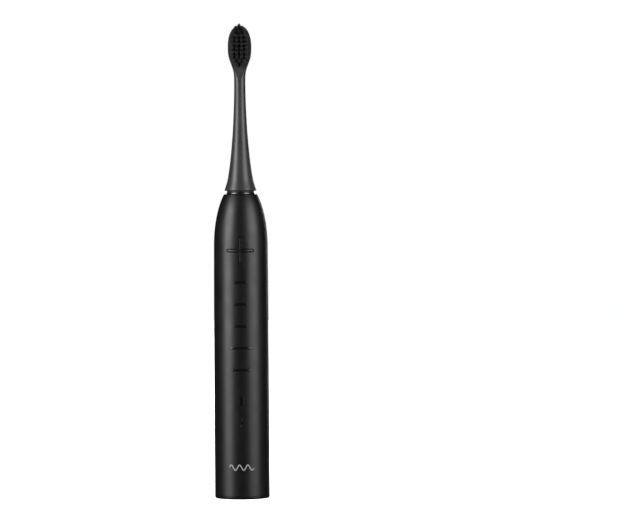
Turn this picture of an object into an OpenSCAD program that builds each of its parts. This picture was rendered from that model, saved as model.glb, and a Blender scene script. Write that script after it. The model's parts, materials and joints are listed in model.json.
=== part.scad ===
// Sonic toothbrush: a rechargeable handle that stands on its base, with a plug-on brush head.
// Millimetres. +Z is up, -Y is the front with the button and the bristles, +X is the right-hand
// side seen from the front. The origin is the centre of the flat base.

/* [Handle] */
// Diameter of the handle at its base
handle_d = 28.8; // [27.6:0.1:36]
// Height of the handle's shell, from the base to its flat top
handle_h = 159; // [154:0.5:200]
// Radius lost between the base and the start of the shoulder
handle_taper = 0.3; // [0:0.05:0.5]
// Height of the rounded shoulder
shoulder_h = 27; // [24:0.5:30]
// Diameter of the shell's flat top
shell_top_d = 17.4; // [16:0.1:20]
// Wall of the shell
wall = 1.7; // [1.4:0.02:2.1]
// Thickness of the shell's roof
roof_t = 2.2; // [1.8:0.1:3]
// Diameter of the ring on top of the shell
ring_d = 14.7; // [13:0.1:16]
// Height of the ring on top of the shell
ring_h = 0.9; // [0.7:0.1:1.4]

/* [Base] */
// Thickness of the base cap's rim
rim_t = 1.2; // [1.1:0.1:1.6]
// Radius of the rounding at the foot of the handle
foot_round = 1; // [0.4:0.1:1]
// Wall of the base cap's plug
plug_wall = 1.8; // [1.6:0.1:2]
// Diameter of the charging socket
socket_d = 10; // [8.5:0.1:11]
// Depth of the charging socket
socket_depth = 9; // [8:0.1:9.4]
// Wall round the charging socket
socket_wall = 1.2; // [1:0.1:1.4]

/* [Button and marks] */
// Drop from the shell's flat top to the middle of the button
button_drop = 29.5; // [28.5:0.1:31]
// Length of each bar of the plus-shaped button slot
slot_len = 14.2; // [11:0.1:15]
// Width of the button slot's bars
slot_w = 1.8; // [1.5:0.1:2.4]
// Gap between the button and its slot
button_gap = 0.3; // [0.15:0.05:0.35]
// Travel of the button
button_travel = 0.4; // [0.2:0.05:0.4]
// Drop from the middle of the button to the first mode light
first_mark_drop = 16.6; // [15:0.1:18]
// Distance from one light to the next
mark_pitch = 11.4; // [9:0.1:14]
// Distance from the last mode light to the battery light
status_drop = 15.9; // [12:0.1:17]
// Height of a mode light
mark_h = 1.3; // [1:0.1:1.8]
// Width of each mode light, from the top
mark_widths = [7, 7, 7, 11.6, 10];
// Width of the battery and charging lights
icon_w = 2.4; // [2:0.1:3]
// Height of the battery and charging lights
icon_h = 4.7; // [4:0.1:5]

/* [Drive] */
// Diameter of the motor can
motor_d = 13; // [11.5:0.1:13.2]
// Length of the motor between its outer faces
motor_len = 45.5; // [42:0.5:46]
// Wall of the motor can
can_wall = 0.6; // [0.4:0.05:0.7]
// Diameter of the drive shaft where it leaves the handle
shaft_d = 4; // [3.4:0.1:4.8]
// Diameter of the drive shaft inside the motor
spindle_d = 3; // [2.6:0.1:3.2]
// Height of the drive shaft's end above the brush head's lower edge
shaft_reach = 23.6; // [20:0.1:23.6]
// Diameter of the battery cell
cell_d = 14; // [13:0.1:17]
// Length of the battery cell
cell_len = 50; // [45:0.5:52]

/* [Brush head] */
// Height of the brush head
head_h = 86.4; // [80:0.1:105]
// Gap between the neck ring and the brush head
head_gap = 0.9; // [0.4:0.05:1.2]
// Diameter of the brush head's lower edge
skirt_d = 16.8; // [16:0.1:20]
// Diameter of the brush head's neck
waist_d = 5.8; // [5.2:0.1:7]
// Width of the bristle plate
plate_w = 12.3; // [11.6:0.05:14]
// Depth of the bristle holes
tuft_depth = 2.8; // [2.4:0.1:3]
// Diameter of a bristle tuft
tuft_d = 1.7; // [1.4:0.05:1.75]
// Distance between the tufts in a row
tuft_pitch = 2.45; // [2:0.05:2.6]
// Distance between the pairs of rows
row_pitch = 4.1; // [3.8:0.05:4.2]
// Reach of the bristles in front of the axis, for each pair of rows from the top
tuft_reach = [12.8, 11, 12.2, 11, 12.8];

/* [Hidden] */
$fn = 96;
eps = 0.01;          // how far a cut runs past the face it opens
fit_gap = 0.02;      // pieces that are glued or pressed together
run_gap = 0.04;      // a shaft in its bearing, bore or seal
slip_gap = 0.1;      // pieces that are pushed together by hand
far = 40;            // longer than anything that a cut has to pass

// Handle: its outside and inside
handle_r = handle_d / 2;
shoulder_r = handle_r - handle_taper;
shoulder_z = handle_h - shoulder_h;
shell_top_r = shell_top_d / 2;
shoulder_rise = shoulder_h / sqrt(1 - pow(shell_top_r / shoulder_r, 2));
bore_r = handle_r - wall;
inner_r = shoulder_r - wall;
roof_z = handle_h - roof_t;
roof_r = shell_top_r - wall;
inner_rise = (roof_z - shoulder_z) / sqrt(1 - pow(roof_r / inner_r, 2));
body_steps = 6;      // cones that make the slight taper
shoulder_steps = 14; // cones that make the shoulder

// Base cap and charging coil
cap_floor_t = 2;
socket_r = socket_d / 2;
post_r = socket_r + socket_wall;
plug_r = bore_r - slip_gap;
plug_in_r = plug_r - plug_wall;
chassis_z = 11.5;
chassis_flange_t = 1.5;
groove_z = 5.8;
groove_h = 1.6;
groove_r = plug_r - 0.9;
o_ring_r = 0.7;      // radius of the O-ring's section before it is squeezed
bobbin_wall = 0.75;
bobbin_flange_t = 0.8;
bobbin_z = cap_floor_t + 0.05;
bobbin_r = plug_in_r - 0.2;
bobbin_top = 9.6;
coil_r_in = post_r + 0.05 + bobbin_wall + fit_gap;
coil_r_out = bobbin_r - 0.4;
ferrite_t = 1.35;
lead_r = 0.4;
coil_lead_y = -(coil_r_out - 0.8);
lead_notch_w = 5;

// Motor, from the top of the chassis down
chassis_top = handle_h - 22.5;
motor_r = motor_d / 2;
motor_top = chassis_top - 0.1;
motor_z = motor_top - motor_len;
end_cap_t = 2;
boss_h = 2;
boss_r = 3.6;
can_z = motor_z + end_cap_t;
can_top = motor_top - end_cap_t;
can_in_r = motor_r - can_wall;
spindle_r = spindle_d / 2;
shaft_r = shaft_d / 2;
shaft_step_z = motor_top + 0.3;
bearing_r = spindle_r + 1.1;
front_bearing_z = can_top - 1.5;
rear_bearing_z = motor_z + 1.5;
bearing_len = 2.5;
front_bearing_len = 3;
magnet_r = can_in_r - 2.15;
pole_r = magnet_r + 0.35;
yoke_r = can_in_r - fit_gap - 0.73;
core_z = can_z + 10.6;
core_top = can_top - 9.9;
return_z = can_z + 3.6;
return_len = 5;
pole_half = 1.6;
coil_half = 3;
damper_t = 0.6;
bay_r = motor_r + damper_t + 0.05;

// Chassis and board
chassis_r = inner_r - 0.5;
flat_y = bay_r + 0.95;
board_t = 0.8;
board_y = flat_y + board_t;
cell_r = cell_d / 2;
cell_bay_r = cell_r + 0.2;
cell_y = chassis_r - cell_bay_r - 1.2;
cell_bay_top = motor_z - 16.5;
cell_z = cell_bay_top - cell_len - 4.4;
cell_bay_z = cell_z - 2.05;
button_z = handle_h - button_drop;
first_mark_z = button_z - first_mark_drop;
last_mark_z = first_mark_z - mark_pitch * (len(mark_widths) - 1);
battery_icon_z = last_mark_z - status_drop;
charge_icon_z = battery_icon_z - mark_pitch;
boot_half_h = 8;
board_top = button_z + boot_half_h;
board_z = charge_icon_z - 10;
board_half = sqrt(pow(inner_r, 2) - pow(board_y, 2)) - 0.6;
screw_x = board_half - 1.4;
upper_screw_z = button_z - boot_half_h - 1.7;
lower_screw_z = first_mark_z - mark_pitch * 2.5;
board_screw_r = 0.7;
board_screw_head_r = 1.05;
retainer_t = 2;
retainer_screw_x = chassis_r - 2.6;
retainer_screw_r = 0.85;
lead_slot_half = 3.5;

// Lights and button, as distances in front of the axis
mask_half = max(mark_widths) / 2 + 0.5;
mask_y = sqrt(pow(inner_r, 2) - pow(mask_half, 2)) - 0.1;
mask_z = charge_icon_z - 4;
mask_top = first_mark_z + 4.5;
lens_back_y = mask_y + 0.12;
led_h = 0.6;
flange_half = 4.4;
flange_y = sqrt(pow(inner_r, 2) - pow(flange_half, 2)) - 0.2;
flange_t = 0.5;
boot_y = flange_y - flange_t - button_travel - 0.05;
boot_skin = 0.25;
boot_half = sqrt(pow(inner_r, 2) - pow(boot_y, 2)) - 0.4;
post_tip_r = 1.2;
switch_h = 0.8;
switch_y = board_y + switch_h;
plunger_r = 0.9;
plunger_y = switch_y + 0.42;

// Brush head
head_z = handle_h + ring_h + head_gap;
head_top = head_z + head_h;
waist_r = waist_d / 2;
plate_up = 11;
plate_down = 12.9;
plate_power = 2.2;
plate_mid_z = head_top - plate_up;
neck_end_z = plate_mid_z - plate_down + 1;
neck_len = neck_end_z - head_z;
front_tilt = 3.26;   // degrees, the bristle face leans back towards the top
front_z = head_top - 29.8;
back_tilt = 2.2;     // degrees, the back face leans out towards the top
back_z = head_top - 20.8;
back_y = 2.8;
field_z = plate_mid_z - 0.3;
row_half = 0.95;
lean_rate = 0.45;    // degrees of outward lean for each millimetre from the field's middle
tuft_r = tuft_d / 2;
shaft_top = head_z + shaft_reach;
flat_cut_y = shaft_r - 0.5;
flat_z = head_z + 8.6;
sleeve_wall = 0.96;
sleeve_r = shaft_r + run_gap + sleeve_wall;
sleeve_z = head_z + 4;
sleeve_top = shaft_top + 1.7;
skirt_wall = 1.1;
cavity_h = 8.5;
// Share of the flare that is left at each share of the neck's height
neck_shape = [[1, 0], [0.951, 0.0156], [0.864, 0.0391], [0.778, 0.0626], [0.7, 0.0876], [0.645, 0.1127],
              [0.6, 0.1362], [0.558, 0.1612], [0.515, 0.1854], [0.442, 0.2347], [0.376, 0.2833],
              [0.324, 0.3333], [0.273, 0.3818], [0.222, 0.4313], [0.176, 0.4804], [0.144, 0.5297],
              [0.113, 0.579], [0.062, 0.6776], [0.027, 0.7762], [0.009, 0.8748], [0, 1]];

// Radius of the handle's outside and inside at a height
function outer_r(z) = z < shoulder_z
    ? handle_r - handle_taper * pow(max(z, 0) / shoulder_z, 3)
    : shoulder_r * sqrt(1 - pow((z - shoulder_z) / shoulder_rise, 2));
function inside_r(z) = z < shoulder_z
    ? outer_r(z) - wall
    : inner_r * sqrt(1 - pow((z - shoulder_z) / inner_rise, 2));
outer_points = concat(
    [for (i = [0:body_steps]) let (z = rim_t + (shoulder_z - rim_t) * i / body_steps) [outer_r(z), z]],
    [for (i = [1:shoulder_steps - 1])
        let (z = shoulder_z + shoulder_h * sin(90 * i / shoulder_steps)) [outer_r(z), z]]);
inner_points = concat(
    [for (i = [0:body_steps]) let (z = rim_t + (shoulder_z - rim_t) * i / body_steps) [inside_r(z), z]],
    [for (i = [1:shoulder_steps])
        let (z = shoulder_z + (roof_z - shoulder_z) * sin(90 * i / shoulder_steps)) [inside_r(z), z]]);
function backwards(p) = [for (i = [len(p) - 1:-1:0]) p[i]];

// Smooth curve through a row of points
function blend(a, b, c, d, t) = 0.5 * (2 * b + (c - a) * t + (2 * a - 5 * b + 4 * c - d) * t * t
    + (3 * b - a - 3 * c + d) * t * t * t);
function smooth(p, steps) = concat(
    [for (i = [0:len(p) - 2], s = [0:steps - 1])
        blend(p[max(i - 1, 0)], p[i], p[i + 1], p[min(i + 2, len(p) - 1)], s / steps)],
    [p[len(p) - 1]]);

// Outline of a bar with round ends
function pill(length, width) = let (r = width / 2, n = 8) concat(
    [for (i = [0:n]) let (a = -90 + 180 * i / n) [length / 2 - r + r * cos(a), r * sin(a)]],
    [for (i = [0:n]) let (a = 90 + 180 * i / n) [r - length / 2 + r * cos(a), r * sin(a)]]);

// Outline of the bristle plate, inset by a margin; its middle is at the origin
function oval(inset) = let (n = 48) [for (i = [0:n - 1])
    let (c = cos(360 * i / n), s = sin(360 * i / n))
    [sign(c) * (plate_w / 2 - inset) * pow(abs(c), 2 / plate_power),
     sign(s) * ((s > 0 ? plate_up : plate_down) - inset) * pow(abs(s), 2 / plate_power)]];

// A round lead swept along a route that keeps to one x
function cut_corners(p, n) = n == 0 ? p : cut_corners(concat([p[0]],
    [for (i = [0:len(p) - 2], s = [0.25, 0.75]) p[i] * (1 - s) + p[i + 1] * s], [p[len(p) - 1]]), n - 1);
function unit(v) = v / norm(v);
module lead(x, route) {
    sides = 8;
    p = cut_corners([for (q = route) [x, q[0], q[1]]], 2);
    last = len(p) - 1;
    rings = [for (i = [0:last])
        let (t = unit(p[min(i + 1, last)] - p[max(i - 1, 0)]), v = cross(t, [1, 0, 0]))
        for (k = [0:sides - 1]) p[i] + lead_r * (cos(360 * k / sides) * [1, 0, 0] + sin(360 * k / sides) * v)];
    walls = [for (i = [0:last - 1], k = [0:sides - 1]) let (a = i * sides, b = (k + 1) % sides)
        [a + k, a + b, a + b + sides, a + k + sides]];
    ends = [[for (k = [sides - 1:-1:0]) k], [for (k = [0:sides - 1]) last * sides + k]];
    polyhedron(points = rings, faces = concat(walls, ends), convexity = 4);
}

module ring(r_in, r_out, z0, z1) {
    translate([0, 0, z0]) difference() {
        cylinder(r = r_out, h = z1 - z0);
        translate([0, 0, -1]) cylinder(r = r_in, h = z1 - z0 + 2);
    }
}

// A prism whose outline stands in the XZ plane, between two distances in front of the axis
module front_prism(y_back, y_front) {
    translate([0, -y_back, 0]) rotate([90, 0, 0]) linear_extrude(y_front - y_back) children();
}

// A block between two corners
module block(a, b) {
    translate(a) cube(b - a);
}

module outer_solid() {
    rotate_extrude() polygon(concat([[0, rim_t]], outer_points, [[shell_top_r, handle_h], [0, handle_h]]));
}

module plus_outline(length, width) {
    polygon(pill(length, width));
    rotate(90) polygon(pill(length, width));
}

module battery_outline(grow) {
    tip = 0.5;
    half = icon_w / 2 + grow;
    polygon([[-half, -icon_h / 2 - grow], [half, -icon_h / 2 - grow], [half, icon_h / 2 - tip + grow],
             [half / 2, icon_h / 2 - tip + grow], [half / 2, icon_h / 2 + grow],
             [-half / 2, icon_h / 2 + grow], [-half / 2, icon_h / 2 - tip + grow],
             [-half, icon_h / 2 - tip + grow]]);
}

module bolt_outline(grow) {
    w = icon_w / 2 + grow;
    h = icon_h / 2 + grow;
    polygon([[w * 0.35, h], [-w, -h * 0.12], [-w * 0.1, -h * 0.12], [-w * 0.35, -h],
             [w, h * 0.12], [w * 0.1, h * 0.12]]);
}

module mark_outlines(grow) {
    for (i = [0:len(mark_widths) - 1])
        translate([0, first_mark_z - mark_pitch * i])
            polygon(pill(mark_widths[i] + 2 * grow, mark_h + 2 * grow));
}

module icon_outlines(grow) {
    translate([0, battery_icon_z]) battery_outline(grow);
    translate([0, charge_icon_z]) bolt_outline(grow);
}

// ---- Casing ----

module handle_shell() {
    edge = 0.3;
    color("#1d1d1f") difference() {
        rotate_extrude() polygon(concat(outer_points,
            [[shell_top_r, handle_h - edge], [shell_top_r - edge, handle_h],
             [seal_stem_r() + slip_gap, handle_h], [seal_stem_r() + slip_gap, roof_z]],
            backwards(inner_points)));
        front_prism(lens_back_y - 1, far) translate([0, button_z]) plus_outline(slot_len, slot_w);
        front_prism(lens_back_y - 1, far) mark_outlines(0);
        front_prism(lens_back_y - 1, far) icon_outlines(0);
    }
}

function seal_stem_r() = shaft_r + run_gap + 2.05;

module neck_ring() {
    edge = 0.35;
    in_r = seal_stem_r() + slip_gap;
    out_r = ring_d / 2;
    top = handle_h + ring_h;
    color("#2b2b2d") rotate_extrude() polygon([[in_r, handle_h], [out_r, handle_h], [out_r, top - edge],
        [out_r - edge, top], [in_r, top]]);
}

module shaft_seal() {
    flange_r = seal_stem_r() + 1.6;
    flange_h = 1.4;
    collar_z = handle_h + ring_h + fit_gap;
    top = head_z + 0.4;
    in_r = shaft_r + run_gap;
    stem_r = seal_stem_r();
    collar_r = min(ring_d / 2 - 0.3, skirt_d / 2 - skirt_wall - 0.25);   // closes the gap under the brush head
    color("#18181a") rotate_extrude() polygon([[in_r, roof_z - flange_h], [flange_r, roof_z - flange_h],
        [flange_r, roof_z - fit_gap], [stem_r, roof_z - fit_gap], [stem_r, collar_z], [collar_r, collar_z],
        [collar_r, top - 0.3], [collar_r - 0.3, top], [stem_r, top], [in_r, top - 0.5]]);
}

module bottom_cap() {
    lip = 0.05;      // seam between the cap and the shell
    foot = [for (i = [0:6]) let (a = -90 + 15 * i)
        [handle_r - foot_round + foot_round * cos(a), foot_round + foot_round * sin(a)]];
    color("#1d1d1f") difference() {
        rotate_extrude() polygon(concat([[0, 0]], foot,
            [[handle_r, rim_t - lip], [plug_r, rim_t - lip],
             [plug_r, groove_z - groove_h / 2], [groove_r, groove_z - groove_h / 2],
             [groove_r, groove_z + groove_h / 2], [plug_r, groove_z + groove_h / 2],
             [plug_r, chassis_z - 0.05], [plug_in_r, chassis_z - 0.05], [plug_in_r, cap_floor_t],
             [post_r, cap_floor_t], [post_r, socket_depth + socket_wall],
             [0, socket_depth + socket_wall]]));
        translate([0, 0, -1]) cylinder(r = socket_r, h = socket_depth + 1);
    }
}

module cap_o_ring() {
    in_r = groove_r + fit_gap;
    out_r = bore_r - fit_gap;
    color("#202022") rotate_extrude() translate([(in_r + out_r) / 2, groove_z]) intersection() {
        circle(r = o_ring_r, $fn = 48);
        square([out_r - in_r, 4 * o_ring_r], center = true);
    }
}

module mode_lenses() {
    color("#8a8d92") intersection() {
        front_prism(lens_back_y, far) mark_outlines(-fit_gap);
        outer_solid();
    }
}

module status_lenses() {
    color("#8a8d92") intersection() {
        front_prism(lens_back_y, far) icon_outlines(-fit_gap);
        outer_solid();
    }
}

module light_mask() {
    channel = 0.2;   // how much wider a light channel is than its lens
    color("#111112") difference() {
        block([-mask_half, -mask_y, mask_z], [mask_half, -board_y - 0.05, mask_top]);
        front_prism(board_y - 1, far) mark_outlines(channel);
        front_prism(board_y - 1, far) translate([0, battery_icon_z])
            square([icon_w + 2 * channel, icon_h + 2 * channel], center = true);
        front_prism(board_y - 1, far) translate([0, charge_icon_z])
            square([icon_w + 2 * channel, icon_h + 2 * channel], center = true);
        for (x = [-screw_x, screw_x])
            translate([x, -board_y + 1, lower_screw_z]) rotate([90, 0, 0]) cylinder(r = 1.35, h = far);
    }
}

// ---- Button ----

module button_boot() {
    color("#2c2c2e") difference() {
        block([-boot_half, -boot_y, button_z - boot_half_h], [boot_half, -board_y - fit_gap, board_top]);
        block([-boot_half + 0.8, -boot_y + boot_skin, button_z - boot_half_h + 0.8],
              [boot_half - 0.8, -board_y + 1, board_top - 0.8]);
        translate([0, 0, button_z]) rotate([90, 0, 0]) cylinder(r = post_tip_r + 0.06, h = far);
    }
}

module button_cap() {
    back = flange_y - flange_t;
    color("#1d1d1f") union() {
        intersection() {
            front_prism(back, far) translate([0, button_z])
                plus_outline(slot_len - 2 * button_gap, slot_w - 2 * button_gap);
            outer_solid();
        }
        block([-flange_half, -flange_y, button_z - flange_half], [flange_half, -back + eps, button_z + flange_half]);
        front_prism(plunger_y + 0.05, flange_y - eps) translate([0, button_z]) circle(r = post_tip_r);
    }
}

module switch_body() {
    half = 2.6;
    color("#6f7378") difference() {
        block([-half, -switch_y, button_z - half], [half, -board_y - fit_gap, button_z + half]);
        front_prism(board_y + 0.15, far) translate([0, button_z]) circle(r = plunger_r + 0.05);
    }
}

module switch_plunger() {
    color("#d8d8d4") front_prism(board_y + 0.6, plunger_y) translate([0, button_z]) circle(r = plunger_r);
}

// ---- Frame inside the handle ----

module chassis_section(r) {
    intersection() {
        circle(r = r);
        translate([-far, -flat_y]) square([2 * far, 2 * far]);
    }
}

module chassis() {
    rib = 3;
    bay_wall = 1.45;
    bar_z = chassis_z + chassis_flange_t;
    pocket_z = motor_z + 3;
    pocket_top = chassis_top - 8;
    pocket_mid = (pocket_z + pocket_top) / 2;
    color("#c9c7c0") difference() {
        union() {
            translate([0, 0, chassis_z]) linear_extrude(chassis_top - chassis_z) chassis_section(chassis_r);
            ring(1, bore_r - 0.15, chassis_z, bar_z);
            translate([0, 0, chassis_z]) cylinder(r = 3, h = chassis_flange_t);
        }
        translate([0, 0, motor_z - 0.2]) cylinder(r = bay_r, h = far + motor_len);
        translate([0, cell_y, cell_bay_z]) cylinder(r = cell_bay_r, h = cell_bay_top - cell_bay_z);
        block([-cell_bay_r, -far, cell_bay_z], [cell_bay_r, cell_y, cell_bay_top]);
        block([-lead_slot_half, -far, cell_bay_top - 1], [lead_slot_half, -bay_r + 4.3, motor_z + 1]);
        block([-lead_notch_w / 2, -far, chassis_z - 1], [lead_notch_w / 2, coil_lead_y + 0.6, bar_z + 1]);
        for (z = [[pocket_z, pocket_mid - rib / 2], [pocket_mid + rib / 2, pocket_top]]) intersection() {
            ring(bay_r + bay_wall, far, z[0], z[1]);
            block([-far, -1, z[0] - 1], [far, far, z[1] + 1]);
        }
        for (x = [-retainer_screw_x, retainer_screw_x])
            translate([x, 0, chassis_top - 5.5]) cylinder(r = retainer_screw_r, h = far);
        for (x = [-screw_x, screw_x], z = [lower_screw_z, upper_screw_z])
            translate([x, -flat_y + 2.6, z]) rotate([90, 0, 0]) cylinder(r = board_screw_r, h = far);
    }
}

module motor_retainer() {
    color("#c9c7c0") difference() {
        translate([0, 0, chassis_top]) linear_extrude(retainer_t) chassis_section(chassis_r - 0.3);
        translate([0, 0, chassis_top - 1]) cylinder(r = shaft_r + 0.7, h = retainer_t + 2);
        for (x = [-retainer_screw_x, retainer_screw_x])
            translate([x, 0, chassis_top - 1]) cylinder(r = retainer_screw_r + 0.15, h = retainer_t + 2);
    }
}

module retainer_screws() {
    head_r = 1.6;
    head_h = 0.9;
    top = chassis_top + retainer_t;
    color("#a9acb0") for (x = [-retainer_screw_x, retainer_screw_x]) translate([x, 0, 0]) difference() {
        union() {
            translate([0, 0, top]) cylinder(r = head_r, h = head_h);
            translate([0, 0, chassis_top - 5]) cylinder(r = retainer_screw_r - fit_gap, h = top - chassis_top + 5.1);
        }
        block([-1.1, -0.2, top + 0.4], [1.1, 0.2, top + 2]);
        block([-0.2, -1.1, top + 0.4], [0.2, 1.1, top + 2]);
    }
}

// ---- Electronics ----

module board() {
    color("#1f5c3a") difference() {
        block([-board_half, -board_y, board_z], [board_half, -flat_y, board_top]);
        for (x = [-screw_x, screw_x], z = [lower_screw_z, upper_screw_z])
            translate([x, 0, z]) rotate([90, 0, 0]) cylinder(r = board_screw_r + 0.1, h = far);
    }
}

module board_screws() {
    head_h = 0.6;
    color("#a9acb0") for (x = [-screw_x, screw_x], z = [lower_screw_z, upper_screw_z]) translate([x, 0, z]) {
        difference() {
            union() {
                front_prism(board_y + fit_gap, board_y + head_h) circle(r = board_screw_head_r);
                front_prism(flat_y - 2.5, board_y + 0.1) circle(r = board_screw_r - fit_gap);
            }
            front_prism(board_y + head_h - 0.3, far) square([1.3, 0.3], center = true);
        }
    }
}

module mode_leds() {
    color("#f0ead0") for (i = [0:len(mark_widths) - 1]) {
        z = first_mark_z - mark_pitch * i;
        half = mark_widths[i] / 2 - 2.2;
        for (x = [-half, half])
            block([x - 0.8, -board_y - led_h, z - 0.5], [x + 0.8, -board_y - fit_gap, z + 0.5]);
    }
}

module status_leds() {
    color("#f0ead0") for (z = [battery_icon_z, charge_icon_z])
        block([-0.8, -board_y - led_h, z - 0.5], [0.8, -board_y - fit_gap, z + 0.5]);
}

module controller_chip() {
    size = 5;
    z = cell_bay_top - 22;
    color("#26272a") block([-size / 2, -flat_y + fit_gap, z - size / 2], [size / 2, -flat_y + 0.9, z + size / 2]);
}

module board_passives() {
    color("#7d6a4f") for (i = [0:3], x = [-3.2, 3.2]) {
        z = cell_bay_top - 30 - 3 * i;
        block([x - 1, -flat_y + fit_gap, z - 0.6], [x + 1, -flat_y + 0.8, z + 0.6]);
    }
}

module battery_cell() {
    edge = 0.5;
    color("#3c6ea8") translate([0, cell_y, cell_z]) rotate_extrude() polygon([[0, 0], [cell_r - edge, 0],
        [cell_r, edge], [cell_r, cell_len - edge], [cell_r - edge, cell_len], [2.6, cell_len],
        [2.6, cell_len + 0.9], [0, cell_len + 0.9]]);
}

module battery_tabs() {
    t = 0.3;
    top = cell_z + cell_len + 0.9 + fit_gap;
    color("#b9bcbf") {
        block([-2.4, cell_y - cell_r, top], [2.4, cell_y + 2.4, top + t]);
        block([-2.4, cell_y - cell_r, cell_z - fit_gap - t], [2.4, cell_y + 2.4, cell_z - fit_gap]);
    }
}

module battery_pad() {
    color("#4a4a4d") translate([0, cell_y, cell_bay_z + fit_gap]) cylinder(r = cell_r - 1.2, h = 1.6);
}

module battery_lead_positive() {
    z = cell_z + cell_len + 1.4;
    color("#b3261e") lead(1.4, [[cell_y - cell_r + 0.6, z + lead_r], [cell_y - cell_r - 1, z + 0.8],
        [-flat_y + 1.6, z - 1], [-flat_y + 1.4, z - 4], [-flat_y + fit_gap, z - 4.4]]);
}

module battery_lead_negative() {
    z = cell_z - fit_gap - 0.35;
    front = min(-flat_y + 1.5, cell_y - cell_r - 0.6);
    color("#161618") lead(-1.4, [[cell_y - cell_r + 0.6, z - lead_r], [cell_y - cell_r - 1.4, z - 0.4],
        [front, z + 4], [front, board_z + 2], [front, board_z + 6.6],
        [(front - flat_y) / 2, board_z + 7], [-flat_y + fit_gap, board_z + 7]]);
}

module motor_leads() {
    color("#b8743a") for (x = [-2.4, 2.4])
        lead(x, [[-bay_r + 3.6, motor_z - fit_gap], [-bay_r + 3.4, motor_z - 2], [-bay_r + 1.6, motor_z - 4],
                 [-flat_y + 1, motor_z - 5.4], [-flat_y + fit_gap, motor_z - 5.6]]);
}

module coil_leads() {
    y = coil_lead_y;
    color("#b8743a") for (x = [-1.4, 1.4])
        lead(x, [[y, bobbin_top - bobbin_flange_t - 0.05], [y, chassis_z], [y, (chassis_z + board_z) / 2],
                 [y, board_z], [y, board_z + 1.5], [y + 0.1, board_z + 2], [-board_y - fit_gap, board_z + 2]]);
}

// ---- Charging coil ----

module coil_bobbin() {
    in_r = post_r + 0.05;
    color("#d9d6cc") difference() {
        union() {
            ring(in_r, in_r + bobbin_wall, bobbin_z, bobbin_top);
            ring(in_r, bobbin_r, bobbin_z, bobbin_z + bobbin_flange_t);
            ring(in_r, bobbin_r, bobbin_top - bobbin_flange_t, bobbin_top);
        }
        block([-lead_notch_w / 2, -far, bobbin_top - bobbin_flange_t - 0.2], [lead_notch_w / 2, coil_lead_y + 0.6, far]);
    }
}

module charge_coil() {
    color("#c07a3c") ring(coil_r_in, coil_r_out, bobbin_z + bobbin_flange_t + 0.04, bobbin_top - bobbin_flange_t - 0.06);
}

module coil_ferrite() {
    color("#3b3d40") difference() {
        ring(post_r + 0.1, bobbin_r, bobbin_top + fit_gap, bobbin_top + ferrite_t);
        block([-lead_notch_w / 2, -far, bobbin_top - 1], [lead_notch_w / 2, coil_lead_y + 0.6, far]);
    }
}

// ---- Motor ----

module motor_can() {
    color("#b4b7ba") ring(can_in_r, motor_r, can_z, can_top);
}

module motor_front_cap() {
    color("#8e9194") difference() {
        union() {
            translate([0, 0, can_top]) cylinder(r = motor_r, h = end_cap_t);
            translate([0, 0, can_top - boss_h]) cylinder(r = boss_r, h = boss_h + 1);
        }
        translate([0, 0, can_top - boss_h - 1]) cylinder(r = bearing_r, h = boss_h + 2.5);
        cylinder(r = spindle_r + 0.4, h = far + handle_h);
    }
}

module motor_rear_cap() {
    color("#8e9194") difference() {
        union() {
            translate([0, 0, motor_z]) cylinder(r = motor_r, h = end_cap_t);
            translate([0, 0, can_z - 1]) cylinder(r = boss_r, h = boss_h + 1);
        }
        translate([0, 0, rear_bearing_z]) cylinder(r = bearing_r, h = far);
        translate([0, 0, motor_z - 1]) cylinder(r = bearing_r - 0.5, h = far);
    }
}

module front_bearing() {
    top = can_top + 1.5 - fit_gap;
    color("#c8a24a") ring(spindle_r + run_gap, bearing_r - fit_gap, top - front_bearing_len, top);
}

module rear_bearing() {
    color("#c8a24a") ring(spindle_r + run_gap, bearing_r - fit_gap, rear_bearing_z + fit_gap, rear_bearing_z + bearing_len);
}

module stator_core() {
    out_r = can_in_r - fit_gap;
    color("#6d7075") difference() {
        union() {
            ring(yoke_r, out_r, core_z, core_top);
            for (s = [-1, 1])
                translate([s * (pole_r + yoke_r + 0.3) / 2, 0, (core_z + core_top) / 2])
                    cube([yoke_r + 0.3 - pole_r + 0.4, 2 * pole_half, core_top - core_z], center = true);
        }
        translate([0, 0, core_z - 1]) cylinder(r = pole_r, h = core_top - core_z + 2);
    }
}

module stator_coils() {
    overhang = 1.8;  // how far the winding stands out past the core's ends
    gap = 0.06;
    color("#b8743a") for (turn = [0, 180]) rotate(turn) difference() {
        intersection() {
            ring(pole_r + 0.1, yoke_r - gap, core_z - overhang, core_top + overhang);
            block([0, -coil_half, core_z - overhang - 1], [far, coil_half, core_top + overhang + 1]);
        }
        block([-1, -pole_half - gap, core_z - gap], [far, pole_half + gap, core_top + gap]);
    }
}

module return_magnets() {
    span = 110;      // degrees that each magnet covers
    color("#7b7e82") for (turn = [0, 180]) rotate(turn - span / 2) translate([0, 0, return_z])
        rotate_extrude(angle = span) translate([magnet_r + 0.5, 0]) square([can_in_r - fit_gap - magnet_r - 0.5, return_len]);
}

module motor_dampers() {
    h = 3;
    color("#2a2a2c") for (z = [can_z + 1, can_top - h - 1]) ring(motor_r + fit_gap, motor_r + damper_t, z, z + h);
}

// ---- Rotor ----

module drive_shaft() {
    end_z = motor_z + 0.3;
    edge = 0.4;
    clip_z = motor_z + 0.7;
    clip_h = 0.6;
    color("#c3c6c9") difference() {
        rotate_extrude() polygon([[0, end_z], [spindle_r, end_z],
            [spindle_r, clip_z], [spindle_r - 0.3, clip_z], [spindle_r - 0.3, clip_z + clip_h],
            [spindle_r, clip_z + clip_h], [spindle_r, shaft_step_z], [shaft_r, shaft_step_z],
            [shaft_r, shaft_top - edge], [shaft_r - edge, shaft_top], [0, shaft_top]]);
        block([-far, flat_cut_y, flat_z], [far, far, shaft_top + 1]);
    }
}

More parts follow.
